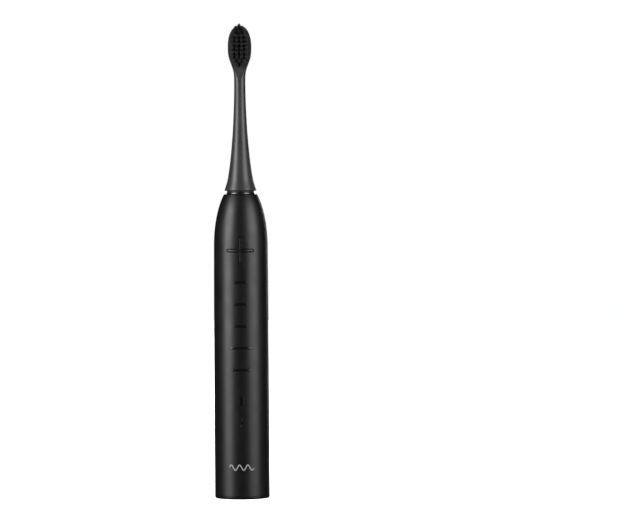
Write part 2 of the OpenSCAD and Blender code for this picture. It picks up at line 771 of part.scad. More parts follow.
module rotor_core() {
    color("#6d7075") ring(spindle_r + fit_gap / 2, magnet_r - 0.85, core_z, core_top);
}

module rotor_magnets() {
    span = 140;      // degrees that each magnet covers
    color("#7b7e82") for (turn = [0, 180]) rotate(turn - span / 2) translate([0, 0, core_z + 1])
        rotate_extrude(angle = span) translate([magnet_r - 0.83, 0]) square([0.83, core_top - core_z - 2]);
}

module rotor_return_magnet() {
    color("#7b7e82") ring(spindle_r + fit_gap / 2, magnet_r, return_z, return_z + return_len);
}

module retaining_clip() {
    z = motor_z + 0.75;
    in_r = spindle_r - 0.28;
    color("#9b9ea2") difference() {
        ring(in_r, bearing_r - 0.62, z, z + 0.5);
        block([-0.5, 0, z - 1], [0.5, far, z + 2]);
    }
}

// ---- Brush head ----

// Frame of the bristle face and of the back face: +Y points out of the back, +Z runs up the face
module on_front() {
    translate([0, -waist_r, front_z]) rotate([-front_tilt, 0, 0]) children();
}

module on_back() {
    translate([0, back_y, back_z]) rotate([-back_tilt, 0, 0]) children();
}

module neck_solid() {
    skirt_r = skirt_d / 2;
    curve = smooth([for (p = neck_shape) [waist_r + (skirt_r - waist_r) * p[0], head_z + neck_len * p[1]]], 2);
    dome = [for (i = [1:5]) [waist_r * cos(18 * i), neck_end_z + waist_r * sin(18 * i)]];
    rotate_extrude() polygon(concat([[0, head_z]], curve, dome));
}

module tuft_places() {
    counts = [4, 4, 4, 3, 2];
    for (g = [-2:2], s = [-1, 1]) {
        dz = g * row_pitch + s * row_half;
        top_row = g == 2 && s == 1;
        n = top_row ? 3 : counts[min(4, floor((abs(dz) + 0.01) / (row_pitch / 2)))];
        pitch = top_row ? min(tuft_pitch, 1.75) : tuft_pitch;
        reach = tuft_reach[2 - g] + s * sign(g) * 0.3;
        for (i = [0:n - 1])
            translate([(i - (n - 1) / 2) * pitch, -face_y(field_z + dz), field_z + dz + (top_row ? [-0.25, 0.8, -0.25][i] : 0)])
                rotate([-lean_rate * dz, 0, 0]) {
                    $length = (reach - face_y(field_z + dz)) / cos(lean_rate * dz);
                    $outer = abs(g) == 2;
                    children();
                }
    }
}

// Distance of the bristle face in front of the axis at a height
function face_y(z) = waist_r - tan(front_tilt) * (z - front_z);

module head_body() {
    skirt_in_r = skirt_d / 2 - skirt_wall;
    color("#1b1b1d") difference() {
        union() {
            neck_solid();
            intersection() {
                front_prism(-far, far) translate([0, plate_mid_z]) polygon(oval(0));
                on_back() block([-far, -far, -far], [far, 0, far]);
            }
        }
        on_front() block([-far, -far, -far / 2], [far, 0, far]);
        translate([0, 0, head_z - eps]) cylinder(r1 = skirt_in_r, r2 = sleeve_r + 1.9, h = cavity_h + eps);
        translate([0, 0, head_z]) cylinder(r = sleeve_r + fit_gap, h = sleeve_top + 0.1 - head_z);
        tuft_places() rotate([90, 0, 0]) translate([0, 0, -tuft_depth]) cylinder(r = tuft_r + fit_gap, h = far, $fn = 24);
    }
}

module drive_sleeve() {
    blind_top = shaft_top + 0.7;
    r = shaft_r + run_gap;
    color("#e4e2dc") difference() {
        union() {
            translate([0, 0, sleeve_z]) cylinder(r = sleeve_r, h = sleeve_top - sleeve_z);
            ring(r + 0.2, sleeve_r + 1.5, head_z + cavity_h - 1.2, head_z + cavity_h - 0.3);
        }
        translate([0, 0, sleeve_z - 1]) cylinder(r = r, h = flat_z + 1.4 - sleeve_z + 1);
        intersection() {
            translate([0, 0, flat_z]) cylinder(r = r, h = blind_top - flat_z);
            block([-far, -far, flat_z - 1], [far, flat_cut_y + 0.06, blind_top + 1]);
        }
        block([-0.9, 0, flat_z + 4], [0.9, flat_cut_y + 0.6, flat_z + 12]);
    }
}

module grip_spring() {
    color("#b9bcbf") block([-0.8, flat_cut_y + 0.1, flat_z + 4.1], [0.8, flat_cut_y + 0.4, flat_z + 11.9]);
}

module tuft() {
    rotate([90, 0, 0]) translate([0, 0, -1.6]) cylinder(r = tuft_r, h = $length + 1.6, $fn = 24);
}

module outer_tufts() {
    color("#2a2a2c") tuft_places() if ($outer) tuft();
}

module inner_tufts() {
    color("#2a2a2c") tuft_places() if (!$outer) tuft();
}

module tuft_anchors() {
    half = tuft_r - 0.15;
    color("#c8a24a") tuft_places() block([-half, 1.65, -0.15], [half, tuft_depth - 0.1, 0.15]);
}

module tongue_pad() {
    inset = 1.5;
    base_t = 0.45;
    rib_h = 1.05;
    rib_t = 0.45;
    rib_pitch = 0.9;
    ribs = floor((plate_up + plate_down - 2 * inset - 4) / rib_pitch);
    first = plate_mid_z - back_z + plate_up - inset - 0.6;
    color("#26262a") on_back() intersection() {
        translate([0, 0, plate_mid_z - back_z]) front_prism(-far, far) polygon(oval(inset));
        union() {
            block([-far, fit_gap, first - ribs * rib_pitch], [far, base_t, first + rib_pitch]);
            for (i = [0:ribs - 1])
                block([-far, base_t - eps, first - i * rib_pitch - rib_t], [far, rib_h, first - i * rib_pitch]);
        }
    }
}

handle_shell();
neck_ring();
shaft_seal();
bottom_cap();
cap_o_ring();
mode_lenses();
status_lenses();
light_mask();
button_boot();
chassis();
motor_retainer();
retainer_screws();
board();
board_screws();
mode_leds();
status_leds();
controller_chip();
board_passives();
switch_body();
motor_can();
motor_front_cap();
motor_rear_cap();
front_bearing();
rear_bearing();
stator_core();
stator_coils();
return_magnets();
motor_dampers();
battery_cell();
battery_tabs();
battery_pad();
battery_lead_positive();
battery_lead_negative();
motor_leads();
coil_leads();
coil_bobbin();
charge_coil();
coil_ferrite();
button_cap();
switch_plunger();
drive_shaft();
rotor_core();
rotor_magnets();
rotor_return_magnet();
retaining_clip();
head_body();
drive_sleeve();
grip_spring();
outer_tufts();
inner_tufts();
tuft_anchors();
tongue_pad();
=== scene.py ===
# %% [markdown]
# # A sonic toothbrush, piece by piece
# The brush stands on its own flat base: a slim handle, a ring at its neck and a plug-on brush head.
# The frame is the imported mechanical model. It gives every size and place, and each surface here is
# built round it, so nothing is fitted by eye afterwards.

# %% Load the frame and the tools
import json
import math

import bmesh
import bpy
import numpy as np
from mathutils import Matrix, Vector
from mathutils.geometry import delaunay_2d_cdt


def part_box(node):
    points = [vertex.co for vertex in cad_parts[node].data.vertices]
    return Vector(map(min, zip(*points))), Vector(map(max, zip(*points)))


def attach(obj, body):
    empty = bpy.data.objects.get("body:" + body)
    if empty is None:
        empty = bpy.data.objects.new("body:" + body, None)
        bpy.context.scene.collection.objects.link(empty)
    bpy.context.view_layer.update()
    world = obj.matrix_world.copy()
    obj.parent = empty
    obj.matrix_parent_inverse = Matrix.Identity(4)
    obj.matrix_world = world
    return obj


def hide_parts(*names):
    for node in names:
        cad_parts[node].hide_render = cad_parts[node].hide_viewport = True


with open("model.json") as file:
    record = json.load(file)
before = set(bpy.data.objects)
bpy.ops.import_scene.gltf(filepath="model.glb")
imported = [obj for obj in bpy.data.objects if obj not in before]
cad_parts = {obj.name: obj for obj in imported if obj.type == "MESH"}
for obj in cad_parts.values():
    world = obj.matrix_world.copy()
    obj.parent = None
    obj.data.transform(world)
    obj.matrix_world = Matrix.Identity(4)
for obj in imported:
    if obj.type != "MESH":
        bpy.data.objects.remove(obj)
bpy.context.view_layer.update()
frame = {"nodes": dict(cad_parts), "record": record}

MM = 0.001


def box_mm(node):
    """Lowest and highest corner of a CAD node, in millimetres."""
    low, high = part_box(node)
    return np.array(low) / MM, np.array(high) / MM


# %% [markdown]
# ## Sizes
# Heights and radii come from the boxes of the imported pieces. What a box can't say, such as how far
# down the shoulder starts or how thick a wall is, is a named size of the design in millimetres.

# %% Driving sizes
shell_low, shell_high = box_mm("handle_shell")
cap_high = box_mm("bottom_cap")[1]
ring_low, ring_high = box_mm("neck_ring")
seal_low, seal_high = box_mm("shaft_seal")
head_low, head_high = box_mm("head_body")
button_low, button_high = box_mm("button_cap")

handle_r = shell_high[0]
shell_foot = shell_low[2]
shell_top = shell_high[2]
taper = 0.3
shoulder_h = 27.0
shell_top_r = 8.7
wall = 1.7
roof = 2.2
shaft_hole_r = 4.19           # the hole in the roof and in the ring, round the seal's stem
shoulder_r = handle_r - taper
shoulder_z = shell_top - shoulder_h
shoulder_rise = shoulder_h / math.sqrt(1 - (shell_top_r / shoulder_r) ** 2)
inner_r = shoulder_r - wall
inner_rise = (shoulder_h - roof) / math.sqrt(1 - ((shell_top_r - wall) / inner_r) ** 2)
button_z = (button_low[2] + button_high[2]) / 2
ring_r = ring_high[0]
head_z = head_low[2]
head_top = head_high[2]
print("handle radius", handle_r, "shell top", shell_top, "button height", button_z)

# %% [markdown]
# ## Turning arrays into meshes
# A grid of points is the simplest surface there is: rows one way, columns the other. Four helpers
# are enough: one makes the faces of a grid, one welds and checks a mesh, one gives the points of an
# arc, and one spins a profile.

# %% Grid and piece helpers
def grid_faces(rows, cols, closed=False, start=0):
    """Quads of a grid whose points are numbered row by row; closed joins the last column to the first."""
    across = cols if closed else cols - 1
    r, c = np.meshgrid(np.arange(rows - 1), np.arange(across), indexing="ij")
    a = start + r * cols + c
    b = start + r * cols + (c + 1) % cols
    return np.stack([a, b, b + cols, a + cols], axis=-1).reshape(-1, 4)


def piece(name, points, faces, body, material, slot, replaces, crease=35, weld=0.0005):
    """Makes a mesh object from points in millimetres, welds doubles, and sets it to ride on its body."""
    mesh = bpy.data.meshes.new(name)
    faces = faces if isinstance(faces, list) else faces.tolist()
    mesh.from_pydata((np.asarray(points, float) * MM).tolist(), [], faces)
    bm = bmesh.new()
    bm.from_mesh(mesh)
    if weld:
        bmesh.ops.remove_doubles(bm, verts=bm.verts, dist=weld * MM)
        bmesh.ops.dissolve_degenerate(bm, edges=bm.edges, dist=weld * MM / 4)
    bmesh.ops.recalc_face_normals(bm, faces=bm.faces)
    open_edges = sum(1 for e in bm.edges if not e.is_manifold)
    bm.to_mesh(mesh)
    bm.free()
    mesh.polygons.foreach_set("use_smooth", np.ones(len(mesh.polygons), bool))
    mesh.set_sharp_from_angle(angle=math.radians(crease))
    mesh.materials.append(material)
    obj = bpy.data.objects.new(name, mesh)
    bpy.context.scene.collection.objects.link(obj)
    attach(obj, body)
    if replaces:
        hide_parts(*replaces)
    print(f"{name}: {len(mesh.polygons)} faces, open edges {open_edges}")


def arc(cx, cz, r, start, end, steps):
    """Points of a circle's arc in the (radius, height) plane, between two angles in degrees."""
    a = np.radians(np.linspace(start, end, steps))
    return np.stack([cx + r * np.cos(a), cz + r * np.sin(a)], axis=-1)


def spin(profile, columns=192):
    """Spins a profile of (radius, height) points about Z: x = r cos a, y = r sin a at each angle a."""
    profile = np.asarray(profile, float)
    a = np.linspace(0, 2 * np.pi, columns, endpoint=False)
    r, z = profile[:, 0:1], profile[:, 1:2]
    points = np.stack([r * np.cos(a), r * np.sin(a), z + 0 * a], axis=-1).reshape(-1, 3)
    return points, grid_faces(len(profile), columns, closed=True)


# %% [markdown]
# ## Finishes
# Moulded plastic is never perfectly even. Its colour drifts a little, its gloss changes in soft
# patches where hands rub it, and the mould leaves a very fine grain. Each finish below is built from
# the same three layers of noise at different scales, so one function can make the soft satin of the
# handle, the glossier neck of the brush head and the rubber of the seals.

# %% Node helpers
def put(tree, node, **inputs):
    """Sets a node's inputs, named with _ for a space: a socket is linked, anything else is a value."""
    for name, value in inputs.items():
        socket = node.inputs[name.replace("_", " ")]
        if isinstance(value, bpy.types.NodeSocket):
            tree.links.new(value, socket)
        else:
            socket.default_value = value
    return node


def add(tree, kind, **inputs):
    """A new node of a kind, with its inputs set."""
    return put(tree, tree.nodes.new("ShaderNode" + kind), **inputs)


def material_with(name):
    """A new material and its node tree, shader and object coordinates."""
    mat = bpy.data.materials.new(name)
    mat.use_nodes = True
    tree = mat.node_tree
    return mat, tree, tree.nodes["Principled BSDF"], add(tree, "TexCoord").outputs["Object"]


def noise(tree, coords, scale, detail=4.0, stretch=(1, 1, 1)):
    """Noise that repeats about every 1/scale metres, stretched along an axis by a small factor there."""
    mapping = add(tree, "Mapping", Scale=stretch, Vector=coords)
    return add(tree, "TexNoise", Scale=scale, Detail=detail, Vector=mapping.outputs["Vector"]).outputs["Fac"]


def ranged(tree, value, low, high):
    """Maps the middle part of a noise, 0.3 to 0.7, to another range."""
    limits = {"From_Min": 0.3, "From_Max": 0.7, "To_Min": low, "To_Max": high}
    return add(tree, "MapRange", Value=value, **limits).outputs["Result"]


def two_tone(tree, value, tone, low, high):
    """A tone times a low and a high factor, led from one to the other by a value from 0 to 1."""
    ramp = add(tree, "ValToRGB", Fac=value)
    for element, place, factor in zip(ramp.color_ramp.elements, (0.3, 0.7), (low, high)):
        element.position = place
        element.color = (*np.minimum(np.array(tone) * factor, 1), 1)
    return ramp.outputs["Color"]


def bump(tree, height, distance):
    """Bump from a height value; distance is the real depth in metres."""
    return add(tree, "Bump", Distance=distance, Height=height).outputs["Normal"]


def moulded(name, tone, rough, spread=0.03, grain=9000, depth=0.000004, drift=0.25, coat=0.0, metallic=0.0):
    """Moulded plastic or rubber: drifting tone, patchy gloss, and a fine mould grain."""
    mat, tree, shader, coords = material_with(name)
    put(tree, shader,
        Base_Color=two_tone(tree, noise(tree, coords, 60), tone, 1 - drift, 1 + drift),
        Roughness=ranged(tree, noise(tree, coords, 140), rough - spread, rough + spread),
        Metallic=metallic, Coat_Weight=coat, Coat_Roughness=0.12,
        Normal=bump(tree, noise(tree, coords, grain, 2), depth))
    return mat


def turned(name, tone, rough, stretch=(1, 1, 30), grain=500, depth=0.000003, drift=0.12):
    """Machined, drawn or plated metal: fine lines left by the tool, with slightly uneven gloss."""
    mat, tree, shader, coords = material_with(name)
    lines = noise(tree, coords, grain, 6, stretch)
    put(tree, shader, Base_Color=two_tone(tree, lines, tone, 1 - drift, 1 + drift),
        Roughness=ranged(tree, lines, rough - 0.06, rough + 0.08),
        Metallic=1.0, Normal=bump(tree, lines, depth))
    return mat


def banded(name, tone, pitch, metallic=0.85):
    """Fine bands along Z: the turns of a wound wire, or the thin punched sheets of an iron core."""
    mat, tree, shader, coords = material_with(name)
    wave = add(tree, "TexWave", Scale=math.pi / (10 * pitch), Distortion=0.4, Vector=coords)
    wave.bands_direction = "Z"
    put(tree, shader, Base_Color=two_tone(tree, wave.outputs["Fac"], tone, 0.45, 1),
        Roughness=ranged(tree, noise(tree, coords, 900), 0.22, 0.36), Metallic=metallic,
        Normal=bump(tree, wave.outputs["Fac"], 0.00008))
    return mat


# %% [markdown]
# The outside needs only a few of them. The handle is satin black, the brush head's neck a little
# glossier, the ring is a dark metallic lacquer, and the lights behind their smoked windows look grey
# when they are off.

# %% Outside finishes
shell_black = moulded("shell_satin_black", (0.0022, 0.0022, 0.0023), 0.40, 0.03, grain=2600, depth=0.000007)
head_black = moulded("head_semi_gloss_black", (0.04, 0.04, 0.041), 0.36, 0.03, grain=14000, depth=0.000002)
ring_black = moulded("ring_dark_lacquer", (0.1, 0.1, 0.103), 0.28, 0.03, drift=0.08, metallic=1.0)
seal_black = moulded("silicone_black", (0.012, 0.012, 0.013), 0.55, 0.05, grain=5000, depth=0.000008)
smoked_grey = moulded("smoked_window", (0.004, 0.004, 0.0044), 0.22, 0.03, drift=0.12)
print_white = moulded("printed_white", (0.46, 0.46, 0.46), 0.5, 0.05, grain=16000, drift=0.04)
bristle_black = moulded("nylon_black", (0.12, 0.12, 0.124), 0.34, 0.05, grain=30000, depth=0.000001)
pad_black = moulded("tongue_pad_rubber", (0.013, 0.013, 0.014), 0.48, 0.05, grain=7000, depth=0.000005)

# %% [markdown]
# ## The handle's shell
# The shell is one moulding, a slightly tapered tube with a rounded shoulder. It could be spun in one
# go, but it has openings: a plus-shaped slot for the button and small windows for the lights. The
# front is therefore unrolled flat, the outlines are cut out of it with a Delaunay triangulation that
# keeps every outline as a true edge, and the result is rolled back onto the handle. Four rings of
# points round each opening carry a tiny rounding, which is what catches the light on a real part.

# %% Profile of the handle
def outer_radius(z):
    """Slow cubic taper up to the shoulder, then a quarter ellipse to the flat top."""
    z = np.asarray(z, float)
    straight = handle_r - taper * (np.clip(z, 0, None) / shoulder_z) ** 3
    curved = shoulder_r * np.sqrt(np.clip(1 - ((z - shoulder_z) / shoulder_rise) ** 2, 0, None))
    return np.where(z < shoulder_z, straight, curved)


def inside_radius(z):
    """The outside less the wall, with an ellipse of its own in the shoulder that leaves the roof."""
    z = np.asarray(z, float)
    curved = inner_r * np.sqrt(np.clip(1 - ((z - shoulder_z) / inner_rise) ** 2, 0, None))
    return np.where(z < shoulder_z, outer_radius(z) - wall, curved)


# %% Outlines of the openings
slot_len, slot_w, button_gap = 14.2, 1.8, 0.3
mark_h = 1.3
mark_widths = (7, 7, 7, 11.6, 10)
mark_pitch = 11.4
first_mark_z = button_z - 16.6
battery_z = first_mark_z - mark_pitch * (len(mark_widths) - 1) - 15.9
charge_z = battery_z - mark_pitch
icon_w, icon_h = 2.4, 4.7


def pill(length, width, n=10):
    """A bar with round ends: two half circles joined by straight sides."""
    r = width / 2
    a = np.radians(np.linspace(-90, 90, n))
    right = np.stack([length / 2 - r + r * np.cos(a), r * np.sin(a)], axis=-1)
    return np.vstack([right, -right])


def plus(length, width, n=10):
    """Four round-ended arms joined at their inner corners, turned a quarter each time."""
    r = width / 2
    a = np.radians(np.linspace(-90, 90, n))
    arm = np.vstack([[[r, -r]], np.stack([length / 2 - r + r * np.cos(a), r * np.sin(a)], axis=-1)])
    turns = [np.array([[0, -1], [1, 0]]), np.array([[-1, 0], [0, -1]]), np.array([[0, 1], [-1, 0]])]
    return np.vstack([arm] + [arm @ t.T for t in turns])


def battery(grow=0.0):
    """A standing rectangle with a narrower tip."""
    tip, half, h = 0.5, icon_w / 2 + grow, icon_h / 2 + grow
    return np.array([[-half, -h], [half, -h], [half, h - tip], [half / 2, h - tip], [half / 2, h],
                     [-half / 2, h], [-half / 2, h - tip], [-half, h - tip]])


def grown(outline, grow):
    """An outline that runs anticlockwise, moved outwards by grow; long corners reach 2.5 times that."""
    along = outline - np.roll(outline, 1, axis=0)
    along = along / np.linalg.norm(along, axis=1, keepdims=True)
    before = np.stack([along[:, 1], -along[:, 0]], axis=-1)
    after = np.roll(before, -1, axis=0)
    corner = (before + after) / (1 + (before * after).sum(axis=1, keepdims=True))
    reach = np.linalg.norm(corner, axis=1, keepdims=True)
    return outline + grow * corner * np.minimum(1, 2.5 / reach)


def bolt(grow=0.0):
    """A slanted zigzag."""
    w, h = icon_w / 2, icon_h / 2
    return grown(np.array([[w * 0.35, h], [-w, -h * 0.12], [-w * 0.1, -h * 0.12], [-w * 0.35, -h],
                           [w, h * 0.12], [w * 0.1, h * 0.12]]), grow)


def dense(outline, step=0.45):
    """The same outline with points no further apart than step."""
    parts = []
    for a, b in zip(outline, np.roll(outline, -1, axis=0)):
        n = max(1, math.ceil(np.linalg.norm(b - a) / step))
        t = np.linspace(0, 1, n, endpoint=False)[:, None]
        parts.append(a + (b - a) * t)
    return np.vstack(parts)


openings = {"button": (0, button_z, lambda g: plus(slot_len + 2 * g, slot_w + 2 * g))}
for number, width in enumerate(mark_widths):
    openings[f"mark_{number + 1}"] = (0, first_mark_z - mark_pitch * number,
                                      lambda g, w=width: pill(w + 2 * g, mark_h + 2 * g))
openings["battery"] = (0, battery_z, battery)
openings["charge"] = (0, charge_z, bolt)
print("openings:", ", ".join(openings))


# %% Flat triangulation helpers
def inside(points, outline):
    """Even-odd test: a point is inside if a ray to its right crosses the outline an odd number of times."""
    x, y = points[:, 0:1], points[:, 1:2]
    a, b = outline, np.roll(outline, -1, axis=0)
    crosses = (a[:, 1] > y) != (b[:, 1] > y)
    with np.errstate(divide="ignore", invalid="ignore"):
        at = a[:, 0] + (y - a[:, 1]) * (b[:, 0] - a[:, 0]) / (b[:, 1] - a[:, 1])
    return (np.count_nonzero(crosses & (x < at), axis=1) % 2).astype(bool)


def distance_to(points, outline):
    """Shortest distance from each point to the outline's segments."""
    a, b = outline, np.roll(outline, -1, axis=0)
    ab = b - a
    ap = points[:, None] - a[None]
    t = np.clip((ap * ab).sum(-1) / (ab * ab).sum(-1), 0, 1)
    return np.linalg.norm(ap - t[..., None] * ab, axis=-1).min(axis=1)


def nearest(points, wanted):
    """Index of the point nearest to each wanted place."""
    return np.linalg.norm(points[None] - wanted[:, None], axis=-1).argmin(axis=1)


def triangulate(loops, extra):
    """Constrained Delaunay triangles over closed loops and loose points; returns points and triangles."""
    points = np.vstack(loops + [extra])
    edges, start = [], 0
    for loop in loops:
        i = np.arange(len(loop))
        edges += np.stack([start + i, start + (i + 1) % len(loop)], axis=-1).tolist()
        start += len(loop)
    result = delaunay_2d_cdt([Vector(p) for p in points], edges, [], 0, 1e-6)
    found, triangles = np.array([tuple(v) for v in result[0]]), np.array(result[2])
    a, b, c = (found[triangles[:, i]] for i in range(3))
    area = np.abs((b - a)[:, 0] * (c - a)[:, 1] - (b - a)[:, 1] * (c - a)[:, 0]) / 2
    return found, triangles[area > 1e-5]


# %% The shell, outside and inside
edge_round = 0.1              # rounding of the openings' edges
foot_edge, top_edge = 0.12, 0.3    # rounding of the shell's lower and upper edge
columns = 192
front_columns = 22            # columns on each side of the front that are triangulated
half_angle = 2 * np.pi / columns * front_columns
unroll_r = 14.2
straight_top = button_z + 11  # the openings are cut straight from front to back up to here
rows_z = np.unique(np.concatenate([
    shell_foot + np.array([0, 0.04, foot_edge, 0.5]), np.arange(3.0, shoulder_z, 1.6),
    shoulder_z + shoulder_h * np.sin(np.radians(np.linspace(0, 88.5, 34))),
    [shell_top - top_edge, shell_top - 0.12, shell_top]]))
patch_low = rows_z[np.searchsorted(rows_z, charge_z - 8)]
patch_high = rows_z[np.searchsorted(rows_z, straight_top)]


def rolled(flat, depth, inward):
    """Rolls flat points (arc length, height) back onto the handle, or onto its inner wall if inward.

    The openings are cut straight from front to back, so near them an inner point keeps the x of its
    outer point. To the sides and above it keeps its angle, and a smooth share joins the two.
    """
    angle = flat[:, 0] / unroll_r
    z = flat[:, 1]
    r_out = outer_radius(z) - depth
    if not inward:
        return np.stack([r_out * np.sin(angle), -r_out * np.cos(angle), z], axis=-1)
    r_in = inside_radius(z)
    same_x = np.arcsin(np.clip(outer_radius(z) * np.sin(angle) / r_in, -1, 1))
    share = np.clip((half_angle - np.abs(angle)) / math.radians(8), 0, 1)
    share = share * np.clip((straight_top - z) / 3, 0, 1)
    angle = angle + (same_x - angle) * share * (3 - 2 * share) * share
    return np.stack([r_in * np.sin(angle), -r_in * np.cos(angle), z], axis=-1)


def flat_outline(cx, cz, outline):
    """An outline seen from the front, unrolled: its x becomes an arc length on the handle."""
    p = dense(outline) + [cx, cz]
    return np.stack([unroll_r * np.arcsin(p[:, 0] / outer_radius(p[:, 1])), p[:, 1]], axis=-1)


edge_steps = (0.0, 0.03, 0.1, 0.3)
loops, depths, holes = [], [], []
for cx, cz, shape in openings.values():
    for grow in edge_steps:
        ring = flat_outline(cx, cz, shape(grow))
        loops.append(ring)
        sink = edge_round - math.sqrt(edge_round ** 2 - max(edge_round - grow, 0) ** 2)
        depths.append((ring, sink))
        if grow == 0:
            holes.append(ring)

patch_rows = rows_z[(rows_z >= patch_low) & (rows_z <= patch_high)]
patch_cols = unroll_r * np.linspace(-half_angle, half_angle, 2 * front_columns + 1)
gx, gz = np.meshgrid(patch_cols, patch_rows)
grid_points = np.stack([gx.ravel(), gz.ravel()], axis=-1)
keep = np.ones(len(grid_points), bool)
for cx, cz, shape in openings.values():
    rim = flat_outline(cx, cz, shape(edge_steps[-1]))
    keep &= ~inside(grid_points, rim) & (distance_to(grid_points, rim) > 0.22)
flat, triangles = triangulate(loops, grid_points[keep])
centres = flat[triangles].mean(axis=1)
solid = np.ones(len(triangles), bool)
for hole in holes:
    solid &= ~inside(centres, hole)
triangles = triangles[solid]
sink = np.zeros(len(flat))
for ring, value in depths:
    if value > 0:
        sink[distance_to(flat, ring) < 1e-4] = value
print("front patch:", len(flat), "points,", len(triangles), "triangles")

# %% [markdown]
# The rest of the shell is a plain spun grid with the front cells left out. Inside and outside use the
# same faces, one reversed, and strips of quads close the openings, the foot and the hole in the roof.

# %% Put the shell together
def shell_piece():
    """Outer and inner skins from one flat layout, joined by strips of quads along every free edge."""
    angle = 2 * np.pi / columns * np.arange(columns)
    gz, ga = np.meshgrid(rows_z, angle, indexing="ij")
    rows = len(rows_z)
    flat_grid = np.stack([unroll_r * ((ga + np.pi) % (2 * np.pi) - np.pi), gz], axis=-1).reshape(-1, 2)
    faces = grid_faces(rows, columns, closed=True)
    step = unroll_r * 2 * np.pi / columns
    first, opposite = flat_grid[faces[:, 0]], flat_grid[faces[:, 2]]
    in_patch = ((first[:, 0] >= patch_cols[0] - 1e-6) & (first[:, 0] + step <= patch_cols[-1] + 1e-6)
                & (first[:, 1] >= patch_low - 1e-6) & (opposite[:, 1] <= patch_high + 1e-6))
    faces = faces[~in_patch]
    all_flat = np.vstack([flat_grid, flat])
    all_sink = np.concatenate([np.zeros(len(flat_grid)), sink])
    for edge, away in ((foot_edge, all_flat[:, 1] - shell_foot), (top_edge, shell_top - all_flat[:, 1])):
        near = np.clip(edge - away, 0, None)
        all_sink = all_sink + edge - np.sqrt(edge ** 2 - near ** 2)
    skins = [f.tolist() for f in faces] + (triangles + len(flat_grid)).tolist()
    outer = rolled(all_flat, all_sink, False)
    inner = rolled(all_flat, all_sink, True)
    # The inner skin stops under the roof: its heights are squeezed into the room below it.
    roof_z = shell_top - roof
    share = np.clip((all_flat[:, 1] - shoulder_z) / shoulder_h, 0, 1)
    high = all_flat[:, 1] > shoulder_z
    inner_z = np.where(high, shoulder_z + share * (roof_z - shoulder_z), all_flat[:, 1])
    r_in = inside_radius(inner_z)
    a = np.arctan2(inner[:, 0], -inner[:, 1])
    inner[high] = np.stack([r_in * np.sin(a), -r_in * np.cos(a), inner_z], axis=-1)[high]
    n = len(outer)
    roof_top = np.stack([shaft_hole_r * np.sin(angle), -shaft_hole_r * np.cos(angle), 0 * angle + shell_top],
                        axis=-1)
    roof_under = roof_top - [0, 0, roof]
    points = np.vstack([outer, inner, roof_top, roof_under])
    this = np.arange(columns)
    following = (this + 1) % columns
    top_row, roof_row, under_row = (rows - 1) * columns, 2 * n, 2 * n + columns
    strips = [np.stack([a + this, a + following, b + following, b + this], axis=-1)
              for a, b in ((top_row, roof_row), (n + top_row, under_row), (roof_row, under_row), (0, n))]
    for hole in holes:
        ids = nearest(flat, hole) + len(flat_grid)
        next_ids = np.roll(ids, -1)
        strips.append(np.stack([ids, next_ids, n + next_ids, n + ids], axis=-1))
    faces_all = skins + [[i + n for i in f] for f in skins] + np.vstack(strips).tolist()
    piece("handle_shell_skin", points, faces_all, "handle", shell_black, "shell_black",
          ("handle_shell",), crease=40, weld=0.002)


shell_piece()

# %% [markdown]
# ## Pieces that fill the openings
# The button and the little windows are plugs: the same outline made slightly smaller, laid on the
# handle's surface and given a rounded rim, a side wall and a back. One function makes them all.

# %% Plugs
def plug(cx, cz, shape, gap, depth, rim=0.12, proud=0.0):
    """A plug in an opening: rings of the outline shrunk by growing steps, rolled onto the handle.

    The rim sinks along a quarter circle, the wall runs straight back by depth, and the back repeats
    the front's triangles.
    """
    steps = (0.0, rim * 0.3, rim)
    rings = [dense(shape(-gap - s)) + [cx, cz] for s in steps]
    lo, hi = rings[0].min(0), rings[0].max(0)
    gx, gz = np.meshgrid(np.arange(lo[0] + 0.3, hi[0], 0.5), np.arange(lo[1] + 0.3, hi[1], 0.5))
    extra = np.stack([gx.ravel(), gz.ravel()], axis=-1)
    extra = extra[inside(extra, rings[-1]) & (distance_to(extra, rings[-1]) > 0.15)]
    p, t = triangulate(rings, extra)
    t = t[inside(p[t].mean(axis=1), rings[0])]
    sunk = np.zeros(len(p))
    for ring, s in zip(rings, steps):
        sunk[distance_to(p, ring) < 1e-4] = rim - math.sqrt(rim ** 2 - (rim - s) ** 2)
    r = outer_radius(p[:, 1]) + proud
    y = np.sqrt(r ** 2 - p[:, 0] ** 2)
    front = np.stack([p[:, 0], -(y - sunk), p[:, 1]], axis=-1)
    back = np.stack([p[:, 0], -(y - depth), p[:, 1]], axis=-1)
    ids = nearest(p, rings[0])
    nxt = np.roll(ids, -1)
    walls = np.stack([ids, nxt, len(p) + nxt, len(p) + ids], axis=-1)
    faces = t.tolist() + (t + len(p)).tolist() + walls.tolist()
    return np.vstack([front, back]), faces


def join(parts):
    """Several (points, faces) sets as one."""
    points, faces, start = [], [], 0
    for p, f in parts:
        points.append(p)
        faces += [[i + start for i in face] for face in (f if isinstance(f, list) else f.tolist())]
        start += len(p)
    return np.vstack(points), faces


marks = [plug(*openings[name], gap=0.02, depth=1.2, rim=0.08) for name in openings if name.startswith("mark")]
piece("mode_windows", *join(marks), "handle", smoked_grey, "lens_grey", ("mode_lenses",))
icons = [plug(*openings[name], gap=0.02, depth=1.2, rim=0.06) for name in ("battery", "charge")]
piece("status_windows", *join(icons), "handle", smoked_grey, "lens_grey", ("status_lenses",))

# %% [markdown]
# The button's face is flush with the shell. Behind it sit a square flange, which keeps it from
# falling out, and a post that presses the switch. Those two are never seen from outside, so the
# flange is a rounded slab and the post a spun pin.

# %% The button
flange_half = 4.4
button_back = -button_high[1]
flange_front = math.sqrt(inner_r ** 2 - flange_half ** 2) - 0.2
flange_back = flange_front - 0.5


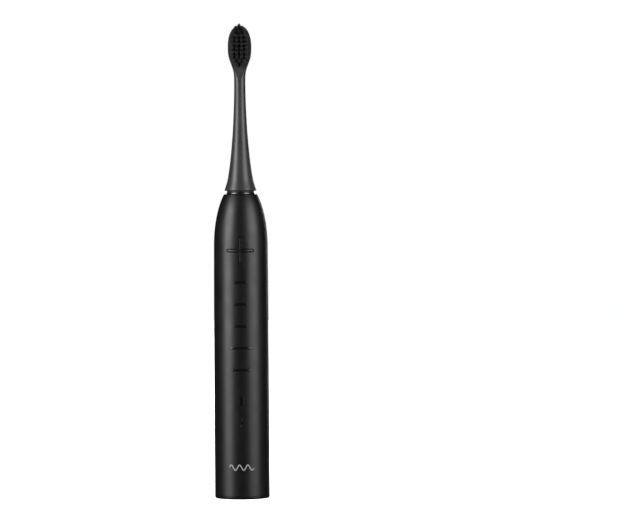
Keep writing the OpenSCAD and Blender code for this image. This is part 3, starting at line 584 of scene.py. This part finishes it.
def slab(x, y0, y1, z0, z1, r=0.12):
    """A block with rounded edges: a cube's grid of points pulled onto a smaller box grown by r."""
    t = np.array([-1, -0.94, 0.94, 1])
    u, v = np.meshgrid(t, t, indexing="ij")
    one = np.ones_like(u)
    sides = [(u, v, one), (v, u, -one), (one, u, v), (-one, v, u), (v, one, u), (u, -one, v)]
    cube = np.concatenate([np.stack(s, axis=-1).reshape(-1, 3) for s in sides])
    half = np.array([x, (y1 - y0) / 2, (z1 - z0) / 2])
    p = cube * half
    core = np.clip(p, -(half - r), half - r)
    away = p - core
    length = np.maximum(np.linalg.norm(away, axis=1, keepdims=True), 1e-9)
    p = core + away / length * r
    faces = np.vstack([grid_faces(4, 4, start=16 * k) for k in range(6)])
    return p + [0, (y0 + y1) / 2, (z0 + z1) / 2], faces


plus_plug = plug(*openings["button"], gap=button_gap, depth=1.55, rim=0.16)
flange = slab(flange_half, -flange_front, -flange_back, button_z - flange_half, button_z + flange_half)
pin_r = 1.2
pin, pin_faces = spin([(0, 0), (pin_r - 0.15, 0), (pin_r, 0.15), (pin_r, flange_back - button_back + 0.2),
                       (0, flange_back - button_back + 0.2)], 32)
pin = np.stack([pin[:, 0], -button_back - pin[:, 2], button_z + pin[:, 1]], axis=-1)
piece("button_plus", *join([plus_plug, flange, (pin, pin_faces)]), "button", shell_black, "shell_black",
      ("button_cap",))

# %% [markdown]
# ## Base cap, neck ring and shaft seal
# These are turned shapes, so each is a profile spun about the handle's axis. The rounding where the
# base meets the side is drawn as an arc, and the cap keeps its charging socket underneath.

# %% Spun pieces of the handle
socket_r, socket_depth, socket_wall = 5.0, 9.0, 1.2
foot_round = 1.0
plug_r = handle_r - wall - 0.1
plug_in = plug_r - 1.8
plug_top = cap_high[2]
seam_z = shell_foot - 0.05
groove = ((plug_r, 5.0), (plug_r - 0.9, 5.0), (plug_r - 0.9, 6.6), (plug_r, 6.6))
cap_profile = np.vstack([
    [(0, socket_depth), (socket_r - 0.3, socket_depth)],
    arc(socket_r - 0.3, socket_depth - 0.3, 0.3, 90, 0, 4),
    [(socket_r, 4), (socket_r, 0.4)], arc(socket_r + 0.4, 0.4, 0.4, 180, 270, 6),
    [(9, 0), (handle_r - foot_round - 0.02, 0)],
    arc(handle_r - foot_round, foot_round, foot_round, -90, -6, 14),
    arc(handle_r - 0.08, seam_z - 0.08, 0.08, 0, 90, 4), [(plug_r, seam_z)], groove,
    [(plug_r, plug_top), (plug_in, plug_top), (plug_in, 2.0), (socket_r + socket_wall, 2.0),
     (socket_r + socket_wall, socket_depth + socket_wall), (0, socket_depth + socket_wall)]])
piece("base_cap", *spin(cap_profile), "handle", shell_black, "shell_black", ("bottom_cap",), weld=0.001)

ring_base, ring_top = ring_low[2], ring_high[2]
ring_profile = np.vstack([
    [(shaft_hole_r, ring_base), (ring_r - 0.1, ring_base)],
    arc(ring_r - 0.12, ring_base + 0.12, 0.12, -90, 0, 4),
    arc(ring_r - 0.35, ring_top - 0.35, 0.35, 0, 90, 8),
    arc(shaft_hole_r + 0.2, ring_top - 0.2, 0.2, 90, 180, 5), [(shaft_hole_r, ring_base)]])
piece("neck_ring_lacquer", *spin(ring_profile, 128), "handle", ring_black, "ring_black", ("neck_ring",),
      weld=0.001)

shaft_gap_r = 2.04
stem_r, flange_r, collar_r = 4.09, 5.69, seal_high[0]
seal_top, seal_base = seal_high[2], seal_low[2]
flange_top = shell_top - roof - 0.02
collar_base = ring_top + 0.02
seal_profile = np.vstack([
    [(shaft_gap_r, seal_base), (flange_r, seal_base), (flange_r, flange_top), (stem_r, flange_top),
     (stem_r, collar_base), (collar_r, collar_base)], arc(collar_r - 0.3, seal_top - 0.3, 0.3, 0, 90, 8),
    [(stem_r, seal_top)], arc(shaft_gap_r + 0.25, seal_top - 0.75, 0.25, 60, 180, 6),
    [(shaft_gap_r, seal_base)]])
piece("shaft_seal_lip", *spin(seal_profile, 96), "handle", seal_black, "seal_rubber", ("shaft_seal",),
      weld=0.001)

# %% [markdown]
# ## The brush head
# The head is one moulding that starts as a round skirt, draws in to a slim neck and opens into an oval
# plate. Its cross-section is the same family all the way: a rectangle with rounded corners. With the
# corners as large as the section it is a circle, and with small ones it is the plate. A flat plane
# cuts the front, so the round neck runs into the plate with a long pointed facet. Above the middle of
# the plate, level slices would run out at the tip, so there the sections fan out round the middle.

# %% Shape of the neck and plate
waist_r = 2.9
plate_half_w, plate_up, plate_down, plate_power = 6.15, 11.0, 12.9, 2.2
plate_mid = head_top - plate_up
neck_end = plate_mid - 11.9
facet_z = head_top - 29.8     # the facet's lower point
back_from, back_reach = head_top - 20.8, 2.8
front_slope, back_slope = math.tan(math.radians(3.26)), math.tan(math.radians(2.2))
# Share of the way from the waist's radius to the skirt's, and share of the height from lip to waist
neck_shape = np.array([[1, 0], [0.951, 0.0156], [0.864, 0.0391], [0.778, 0.0626], [0.7, 0.0876],
                       [0.645, 0.1127], [0.6, 0.1362], [0.558, 0.1612], [0.515, 0.1854], [0.442, 0.2347],
                       [0.376, 0.2833], [0.324, 0.3333], [0.273, 0.3818], [0.222, 0.4313], [0.176, 0.4804],
                       [0.144, 0.5297], [0.113, 0.579], [0.062, 0.6776], [0.027, 0.7762], [0.009, 0.8748],
                       [0, 1]])
# Distance below the plate's middle, and half width there
plate_foot = np.array([[0, 6.15], [2.4, 6.11], [4.5, 5.9], [6.6, 5.42], [8.7, 4.67], [10.8, 3.89],
                       [12.4, 3.42], [14.2, 3.12], [16.4, 2.93], [18.5, 2.86], [24, 2.8]])


def smooth_curve(points, steps):
    """Catmull-Rom curve: each stretch is a cubic that leaves along the line through its neighbours."""
    p = np.vstack([points[:1], points, points[-1:]])
    t = np.linspace(0, 1, steps, endpoint=False)[None, :, None]
    a, b, c, d = (p[i:len(p) - 3 + i, None] for i in range(4))
    out = 0.5 * (2 * b + (c - a) * t + (2 * a - 5 * b + 4 * c - d) * t ** 2
                 + (3 * b - a - 3 * c + d) * t ** 3)
    return np.vstack([out.reshape(-1, points.shape[1]), points[-1:]])


skirt_r = head_high[0]
neck_curve = smooth_curve(neck_shape, 12)
neck_heights = head_z + (neck_end - head_z) * neck_curve[:, 1]
neck_radii = waist_r + (skirt_r - waist_r) * neck_curve[:, 0]


def neck_radius(z):
    """Radius of the round part at a height; it stays at the waist's radius above the curve."""
    return np.interp(z, neck_heights, neck_radii)


foot_curve = smooth_curve(plate_foot, 12)


def plate_width(z):
    """Half width of the plate below its middle, along a curve that runs out into the neck."""
    return np.interp(plate_mid - z, foot_curve[:, 0], foot_curve[:, 1])


def soft_max(a, b, k):
    """The larger of two values, with the corner where they meet rounded over a span of k."""
    h = np.clip(k - np.abs(a - b), 0, None) / k
    return np.maximum(a, b) + h * h * k / 4


def front_face(z):
    """How far the bristle face lies in front of the axis."""
    return waist_r - front_slope * (z - facet_z)


def back_face(z):
    """How far the plate's back lies behind the axis."""
    return back_reach + back_slope * (z - back_from)


def smooth_step(a, b, z):
    """Rises from 0 at a to 1 at b with level ends."""
    t = np.clip((z - a) / (b - a), 0, 1)
    return t * t * (3 - 2 * t)


# %% Cross-sections
flat_cols, arc_cols, side_cols = 9, 14, 6


def half_section(w, yf, yb, rf, rb, cut):
    """Half a section from the front's middle round to the back's middle, for each row.

    w is the half width, yf and yb reach forward and back, rf and rb are the corner radii, and cut is
    the distance of the plane that trims the front. The trim starts the front arc at the angle whose
    cosine is (cut - (yf - rf)) / rf.
    """
    w, yf, yb, rf, rb, cut = (np.asarray(v, float)[:, None] for v in (w, yf, yb, rf, rb, cut))
    start = np.arccos(np.clip((cut - (yf - rf)) / np.maximum(rf, 1e-9), -1, 1))
    flat_y = np.minimum(cut, yf)
    t = np.linspace(0, 1, flat_cols)[None]
    front_x = t * (w - rf + rf * np.sin(start))
    front_y = -flat_y + 0 * t
    a = start + (np.pi / 2 - start) * np.linspace(0, 1, arc_cols)[None, 1:]
    arc_x, arc_y = w - rf + rf * np.sin(a), -(yf - rf) - rf * np.cos(a)
    s = np.linspace(0, 1, side_cols)[None, 1:-1]
    side_x, side_y = w + 0 * s, -(yf - rf) + (yb - rb + yf - rf) * s
    b = np.pi / 2 * np.linspace(0, 1, arc_cols)[None]
    back_x, back_y = w - rb + rb * np.cos(b), yb - rb + rb * np.sin(b)
    end_x = (w - rb) * np.linspace(1, 0, flat_cols)[None, 1:]
    end_y = yb + 0 * end_x
    x = np.concatenate([front_x, arc_x, side_x, back_x, end_x], axis=1)
    y = np.concatenate([front_y, arc_y, side_y, back_y, end_y], axis=1)
    return x, y


plate_rf, plate_rb = 0.22, 1.15


def level_rows(z):
    """Sections of the neck and of the plate's lower half at heights z."""
    r = neck_radius(z)
    w = soft_max(r, plate_width(z), 0.2)
    m = smooth_step(facet_z + 1.5, back_from + 1.5, z)
    cut = front_face(z) + np.clip(facet_z - 10 - z, 0, None)    # clear of the flared skirt
    yf, yb, rf, rb = (r + (to - r) * m for to in (front_face(z), back_face(z), plate_rf, plate_rb))
    return half_section(w, yf, yb, rf, rb, cut)


def round_rows(radii):
    """Circular sections, for the skirt's lip and the bore."""
    r = np.asarray(radii, float)
    return half_section(r, r, r, r, r, 10 + r)


# %% The head's surface
sleeve_r = 3.0
bore_top = head_z + 25.4
inside_rows = np.vstack([[(0.02, bore_top), (sleeve_r + 0.02, bore_top), (sleeve_r + 0.02, head_z + 8.5)],
                         [(4.9, head_z + 8.5), (7.0, head_z + 1.1), (7.28, head_z + 0.3)],
                         arc(7.55, head_z + 0.25, 0.25, 180, 270, 5),
                         arc(8.1, head_z + 0.28, 0.28, -90, 0, 6)])
inside_rows[-1, 0] = neck_radius(inside_rows[-1, 1])
outer_z = np.unique(np.concatenate([
    head_z + np.linspace(0.5, 30, 60), np.linspace(head_z + 30, facet_z - 1, 30),
    np.linspace(facet_z - 1, plate_mid, 70)]))
x, y = (np.vstack(pair) for pair in zip(round_rows(inside_rows[:, 0]), level_rows(outer_z)))
z = np.concatenate([inside_rows[:, 1], outer_z])[:, None] + 0 * x
right = np.stack([x, y, z], axis=-1)
lower = np.concatenate([right, right[:, -2:0:-1] * [-1, 1, 1]], axis=1)

fan = np.radians(np.linspace(0, 180, 61))
reach_x = plate_half_w * np.sign(np.cos(fan)) * np.abs(np.cos(fan)) ** (2 / plate_power)
reach_z = plate_up * np.sin(fan) ** (2 / plate_power)
reach = np.hypot(reach_x, reach_z)
same = np.ones(len(fan))
mid_front, mid_back = front_face(plate_mid), back_face(plate_mid)
fx, fy = half_section(reach, *(v * same for v in (mid_front, mid_back, plate_rf, plate_rb, mid_front)))
share = fx / reach[:, None]
upper_x = share * reach_x[:, None]
upper_z = plate_mid + share * reach_z[:, None]
thick = (fy + mid_front) / (mid_front + mid_back)
upper_y = -front_face(upper_z) + thick * (front_face(upper_z) + back_face(upper_z))
upper = np.stack([upper_x, upper_y, upper_z], axis=-1)
head = join([(lower.reshape(-1, 3), grid_faces(*lower.shape[:2], closed=True)),
             (upper.reshape(-1, 3), grid_faces(*upper.shape[:2]))])
head[1].append(list(range(lower.shape[1])))    # the bore's end
piece("brush_head_moulding", *head, "brush_head", head_black, "head_black", ("head_body",),
      crease=28, weld=0.003)

# %% [markdown]
# ## Bristles
# A tuft is a bundle of nylon filaments folded round a small metal anchor. Solid rods would look like
# pegs, so every filament is its own thin rod with a rounded tip, packed like sunflower seeds inside
# the tuft and leaning out a little. The points of all filaments of a tuft are worked out at once, as
# one array. The tips follow the brush's wavy trim.

# %% Layout of the tufts
row_pitch, row_half, tuft_pitch, tuft_r = 4.1, 0.95, 2.45, 0.85
tuft_reach = (12.8, 11.0, 12.2, 11.0, 12.8)
row_counts = (4, 4, 4, 3, 2)
field_z = plate_mid - 0.3
lean_rate = 0.45
tufts = []
for group in range(-2, 3):
    for side in (-1, 1):
        dz = group * row_pitch + side * row_half
        top_row = group == 2 and side == 1
        count = 3 if top_row else row_counts[min(4, int((abs(dz) + 0.01) / (row_pitch / 2)))]
        pitch = 1.75 if top_row else tuft_pitch
        reach_y = tuft_reach[2 - group] + side * np.sign(group) * 0.3
        for i in range(count):
            rise = (-0.25, 0.8, -0.25)[i] if top_row else 0
            tufts.append(((i - (count - 1) / 2) * pitch, field_z + dz + rise, math.radians(lean_rate * dz),
                          reach_y, abs(group) == 2))
print("tufts:", len(tufts))

# %% Filaments
rng = np.random.default_rng(11)
filament_r, per_tuft = 0.098, 42
sides, filament_rings = 5, 5
root_depth = 1.4              # how far the roots lie inside the plate
ragged = 0.16                 # the most that a filament is shorter than its tuft
trim_slope = 0.22             # slope of the trim across a tuft
wander_by = 0.05              # spread of the tips to the sides


def bundle(selected, name, replaced):
    """Filaments of the selected tufts. Along each, share s from 0 to 1 runs from root to tip; the axis
    point is root + direction * length * s, pushed outwards by splay * s squared, and the last ring
    closes to a point over a rounded end."""
    parts = []
    k = np.arange(per_tuft)
    pack_r = np.sqrt((k + 0.5) / per_tuft) * (tuft_r - filament_r)
    pack_a = k * math.radians(137.5)
    for tx, tz, lean, reach_y, _ in selected:
        spin_a = pack_a + rng.uniform(0, 6.28)
        ox, oz = pack_r * np.cos(spin_a), pack_r * np.sin(spin_a)
        base_y = front_face(tz) - root_depth
        direction = np.array([0, -math.cos(lean), math.sin(lean)])
        length = (reach_y - base_y) / math.cos(lean) + rng.uniform(-ragged, 0.0, per_tuft)
        length = length + oz * trim_slope * np.sign(tz - field_z)
        splay = 0.10 + rng.uniform(-0.03, 0.05, per_tuft)
        wander = rng.normal(0, wander_by, (per_tuft, 2))
        share = np.array([0, 0.45, 0.8, 0.985, 1.0])
        width = filament_r * np.array([1, 1, 1, 0.85, 0.35])
        a = np.linspace(0, 2 * np.pi, sides, endpoint=False)
        root = np.stack([tx + ox, -base_y + 0 * ox, tz + oz], axis=-1)
        axis = root[:, None] + direction * (length[:, None] * share)[..., None]
        push = (splay / tuft_r)[:, None] * share ** 2
        axis[..., 0] += ox[:, None] * push + wander[:, 0:1] * share ** 2
        axis[..., 2] += oz[:, None] * push + wander[:, 1:2] * share ** 2
        ring_pts = np.stack([np.cos(a), 0 * a, np.sin(a)], axis=-1)
        pts = axis[:, :, None] + width[None, :, None, None] * ring_pts[None, None]
        parts.append(pts.reshape(-1, 3))
    points = np.vstack(parts)
    count = len(points) // (filament_rings * sides)
    one = grid_faces(filament_rings, sides, closed=True)
    starts = np.arange(count) * filament_rings * sides
    quads = (starts[:, None, None] + one[None]).reshape(-1, 4)
    tips = (starts[:, None] + (filament_rings - 1) * sides + np.arange(sides)[None]).tolist()
    roots = (starts[:, None] + np.arange(sides)[None, ::-1]).tolist()
    piece(name, points, quads.tolist() + tips + roots, "brush_head", bristle_black, "bristle_black",
          (replaced,), crease=60, weld=0)


bundle([t for t in tufts if t[4]], "bristles_ends", "outer_tufts")
bundle([t for t in tufts if not t[4]], "bristles_field", "inner_tufts")

# %% [markdown]
# ## Tongue pad
# A soft rubber pad is moulded onto the plate's back. Its cross ribs are a height field: a rounded
# wave along the pad, faded out near the pad's rim, over a low base.

# %% The ribbed pad
pad_inset, pad_base, rib_h, rib_pitch = 1.5, 0.45, 1.05, 0.9
pad_sunk = 0.15
low_z = box_mm("tongue_pad")[0][2]


def oval_half(z, inset):
    """Half width of the plate's oval, inset by a margin, both below and above its middle."""
    oval_reach = np.where(z > plate_mid, plate_up, plate_down) - inset
    part = np.clip(np.abs(z - plate_mid) / oval_reach, 0, 1)
    return (plate_half_w - inset) * (1 - part ** plate_power) ** (1 / plate_power)


def pad_surface():
    """Top: y = back face + fade at the rim * (base + rib wave(z)). The underside is the same grid,
    sunk in the plate."""
    top_z = plate_mid + plate_up - pad_inset - 0.02
    zz = np.linspace(low_z, top_z, 300)
    u = np.sin(np.linspace(-np.pi / 2, np.pi / 2, 31))
    half = oval_half(zz, pad_inset)[:, None]
    xx = half * u
    phase = (zz - low_z) / rib_pitch
    wave = np.clip(np.abs(np.sin(np.pi * phase)) * 1.35 - 0.28, 0, 1)
    end = smooth_step(0, 0.5, np.minimum(zz - low_z, top_z - zz))
    rim_fade = np.clip((half - np.abs(xx)) / 0.45, 0, 1) ** 0.5
    height = rim_fade * end[:, None] * (pad_base + (rib_h - pad_base) * wave[:, None])
    top, under = (np.stack([xx, back_face(zz)[:, None] + rise, zz[:, None] + 0 * xx], axis=-1)
                  for rise in (height, 0 * xx - pad_sunk))
    rows, cols = top.shape[:2]
    n = rows * cols
    f = grid_faces(rows, cols)
    ids = np.arange(n).reshape(rows, cols)
    rim_ids = np.concatenate([ids[0, :], ids[1:, -1], ids[-1, -2::-1], ids[-2:0:-1, 0]])
    nxt = np.roll(rim_ids, -1)
    side_faces = np.stack([rim_ids, nxt, n + nxt, n + rim_ids], axis=-1)
    return np.vstack([top.reshape(-1, 3), under.reshape(-1, 3)]), np.vstack([f, f + n, side_faces])


piece("tongue_pad_ribs", *pad_surface(), "brush_head", pad_black, "seal_rubber", ("tongue_pad",),
      crease=50)

# %% [markdown]
# ## A printed mark
# Near the foot the handle carries a small white print. It is drawn here as a plain wave, a ribbon
# that follows the handle's surface and stands a few hundredths of a millimetre proud of it, as
# printed ink does.

# %% The wave print
def wave_print(cz=16.7, length=13.0, height=1.35, stroke=0.55, crests=3):
    """A ribbon along z = height * sin(2 pi crests t), its sides offset by half the stroke along the
    curve's normal, closed by an underside inside the shell."""
    steps = 140
    t = np.linspace(0, 1, steps)
    px = (t - 0.5) * length
    pz = cz + height * np.sin(2 * np.pi * crests * t)
    dx, dz = np.gradient(px), np.gradient(pz)
    n = np.stack([-dz, dx], axis=-1) / np.hypot(dx, dz)[:, None]
    taper_ends = np.clip(np.minimum(t, 1 - t) * 30, 0, 1) ** 0.5
    across = np.array([-1, -0.9, 0.9, 1])
    lift = np.array([-0.03, 0.025, 0.025, -0.03])
    off = across[None] * (stroke / 2 * taper_ends)[:, None]
    rx, rz = px[:, None] + n[:, 0:1] * off, pz[:, None] + n[:, 1:2] * off
    r = outer_radius(rz) + lift[None]
    points = np.stack([rx, -np.sqrt(r ** 2 - rx ** 2), rz], axis=-1).reshape(-1, 3)
    return points, grid_faces(steps, 4, closed=True)


piece("printed_wave", *wave_print(), "handle", print_white, "lens_grey", (), crease=50)

# %% [markdown]
# ## What is inside
# The inner pieces keep their mechanical shapes, because those are exact. Each gets the finish of the
# material that it is made of: drawn steel, die-cast alloy, bronze, copper wire, stacked iron sheets,
# magnets, the green board, and natural moulded plastic.

# %% Finishes for the inner pieces
def board_green():
    """Solder mask over copper tracks: a brick pattern of thin lines for the tracks, under a green gloss."""
    mat, tree, shader, coords = material_with("board_solder_mask")
    turn = add(tree, "Mapping", Rotation=(math.pi / 2, 0, 0), Vector=coords)
    tracks = add(tree, "TexBrick", Scale=220, Mortar_Size=0.03, Color1=(0.012, 0.10, 0.045, 1),
                 Color2=(0.010, 0.085, 0.04, 1), Mortar=(0.03, 0.21, 0.09, 1), Vector=turn.outputs["Vector"])
    put(tree, shader, Base_Color=tracks.outputs["Color"],
        Roughness=ranged(tree, noise(tree, coords, 400), 0.22, 0.36),
        Normal=bump(tree, tracks.outputs["Fac"], 0.00003))
    return mat


steel_lines = turned("drawn_steel", (0.56, 0.57, 0.58), 0.30)
finishes = {
    "seal_rubber": seal_black,
    "mask_black": moulded("mask_matt_black", (0.012, 0.012, 0.012), 0.6),
    "chassis_plastic": moulded("natural_plastic", (0.55, 0.53, 0.47), 0.45, drift=0.05, depth=0.000006),
    "screw_steel": turned("zinc_plated_steel", (0.58, 0.59, 0.6), 0.34, (1, 1, 1), 900),
    "board_green": board_green(),
    "led_lens": moulded("milky_lens", (0.8, 0.77, 0.62), 0.28, drift=0.04),
    "chip_black": moulded("epoxy_black", (0.02, 0.02, 0.022), 0.5),
    "switch_metal": turned("spring_steel", (0.5, 0.51, 0.53), 0.32, (1, 20, 1)),
    "can_steel": steel_lines,
    "cap_alloy": turned("cast_alloy", (0.48, 0.49, 0.5), 0.46, (1, 1, 1), 1400, 0.00001),
    "bearing_bronze": turned("sintered_bronze", (0.52, 0.36, 0.15), 0.42, (1, 1, 1), 2600, 0.00001),
    "core_iron": banded("stacked_iron", (0.16, 0.165, 0.17), 0.00035, 1.0),
    "copper": banded("copper_wire", (0.72, 0.33, 0.14), 0.0003),
    "magnet": turned("plated_magnet", (0.42, 0.42, 0.43), 0.26, (1, 1, 1), 700),
    "ferrite": moulded("pressed_ferrite", (0.035, 0.035, 0.038), 0.5, grain=3000, depth=0.00001),
    "cell_wrap": moulded("shrink_sleeve_blue", (0.02, 0.09, 0.3), 0.28, drift=0.08, coat=0.4),
    "pad_foam": moulded("foam_grey", (0.06, 0.06, 0.065), 0.85, grain=1800, depth=0.00008),
    "lead_red": moulded("lead_red", (0.42, 0.02, 0.012), 0.42, drift=0.08),
    "lead_black": moulded("lead_black", (0.014, 0.014, 0.014), 0.42, drift=0.1),
    "shaft_steel": turned("ground_stainless", (0.62, 0.63, 0.64), 0.2, (1, 1, 40), 700),
    "sleeve_plastic": moulded("acetal_natural", (0.7, 0.69, 0.63), 0.36, drift=0.04),
    "anchor_brass": turned("brass_strip", (0.66, 0.47, 0.18), 0.3, (1, 20, 1)),
    "shell_black": shell_black, "head_black": head_black, "ring_black": ring_black,
    "lens_grey": smoked_grey, "bristle_black": bristle_black,
}
for entry in frame["record"]["subparts"]:
    node = frame["nodes"][entry["node"]]
    node.data.materials.clear()
    node.data.materials.append(finishes[entry["material_slot"]])

# %% [markdown]
# ## Floor, light and camera
# A product like this is shot on white with two tall soft boxes. On a dark satin cylinder they become
# the two broad vertical highlights, one on each side of a dark middle. The camera stands far away
# with a long lens, level with the upper handle.

# %% Studio
aim = Vector((0, 0, 0.13))    # about half way up the brush


def soft_box(name, angle, distance, z, width, height, power):
    """An area light turned to the handle; angle is measured from the camera's side, right is positive."""
    light = bpy.data.lights.new(name, "AREA")
    light.shape = "RECTANGLE"
    light.size, light.size_y, light.energy = width, height, power
    obj = bpy.data.objects.new(name, light)
    a = math.radians(angle)
    place = Vector((distance * math.sin(a), -distance * math.cos(a), z))
    obj.rotation_euler = (aim - place).to_track_quat("-Z", "Y").to_euler()
    obj.location = place
    bpy.context.scene.collection.objects.link(obj)
    return obj


soft_box("left_box", angle=-56, distance=1.1, z=0.42, width=0.66, height=1.0, power=15.5)
soft_box("right_box", angle=55, distance=1.2, z=0.42, width=0.86, height=1.0, power=12.8)
soft_box("rim_box", angle=152, distance=1.2, z=0.2, width=0.10, height=0.5, power=0.6)

floor_mesh = bpy.data.meshes.new("floor")
half_floor = 3.0
floor_mesh.from_pydata([(half_floor * x, half_floor * y, 0) for x, y in ((-1, -1), (1, -1), (1, 1), (-1, 1))],
                       [], [(0, 1, 2, 3)])
floor = bpy.data.objects.new("floor", floor_mesh)
floor_mesh.materials.append(moulded("floor_white", (0.86, 0.86, 0.86), 0.7, drift=0.01))
bpy.context.scene.collection.objects.link(floor)
floor.visible_glossy = False
floor.visible_diffuse = False

# A wide overhead light shines on the floor alone, so that the floor stays white to its far edge.
floor_only = bpy.data.collections.new("floor_only")
floor_only.objects.link(floor)
overhead = soft_box("floor_light", angle=0, distance=0.01, z=3.0, width=6.0, height=6.0, power=700)
overhead.light_linking.receiver_collection = floor_only

world = bpy.data.worlds.new("studio")
bpy.context.scene.world = world
world.use_nodes = True
sky = world.node_tree
white = put(sky, sky.nodes["Background"], Color=(1, 1, 1, 1))
dim = add(sky, "Background", Color=(1, 1, 1, 1), Strength=0.028)
mix = add(sky, "MixShader", Fac=add(sky, "LightPath").outputs["Is Camera Ray"])
sky.links.new(dim.outputs["Background"], mix.inputs[1])
sky.links.new(white.outputs["Background"], mix.inputs[2])
put(sky, sky.nodes["World Output"], Surface=mix.outputs["Shader"])

camera_data = bpy.data.cameras.new("camera")
camera_data.lens = 182.6
camera_data.sensor_width = 36
camera = bpy.data.objects.new("camera", camera_data)
camera.location = (0.0354, -1.64, 0.144)
look = (Vector((0.0354, 0, 0.1217)) - camera.location).to_track_quat("-Z", "Y")
camera.rotation_euler = (look.to_matrix() @ Matrix.Rotation(math.radians(-0.36), 3, "Z")).to_euler()
bpy.context.scene.collection.objects.link(camera)
bpy.context.scene.camera = camera
bpy.context.scene.view_settings.view_transform = "Standard"
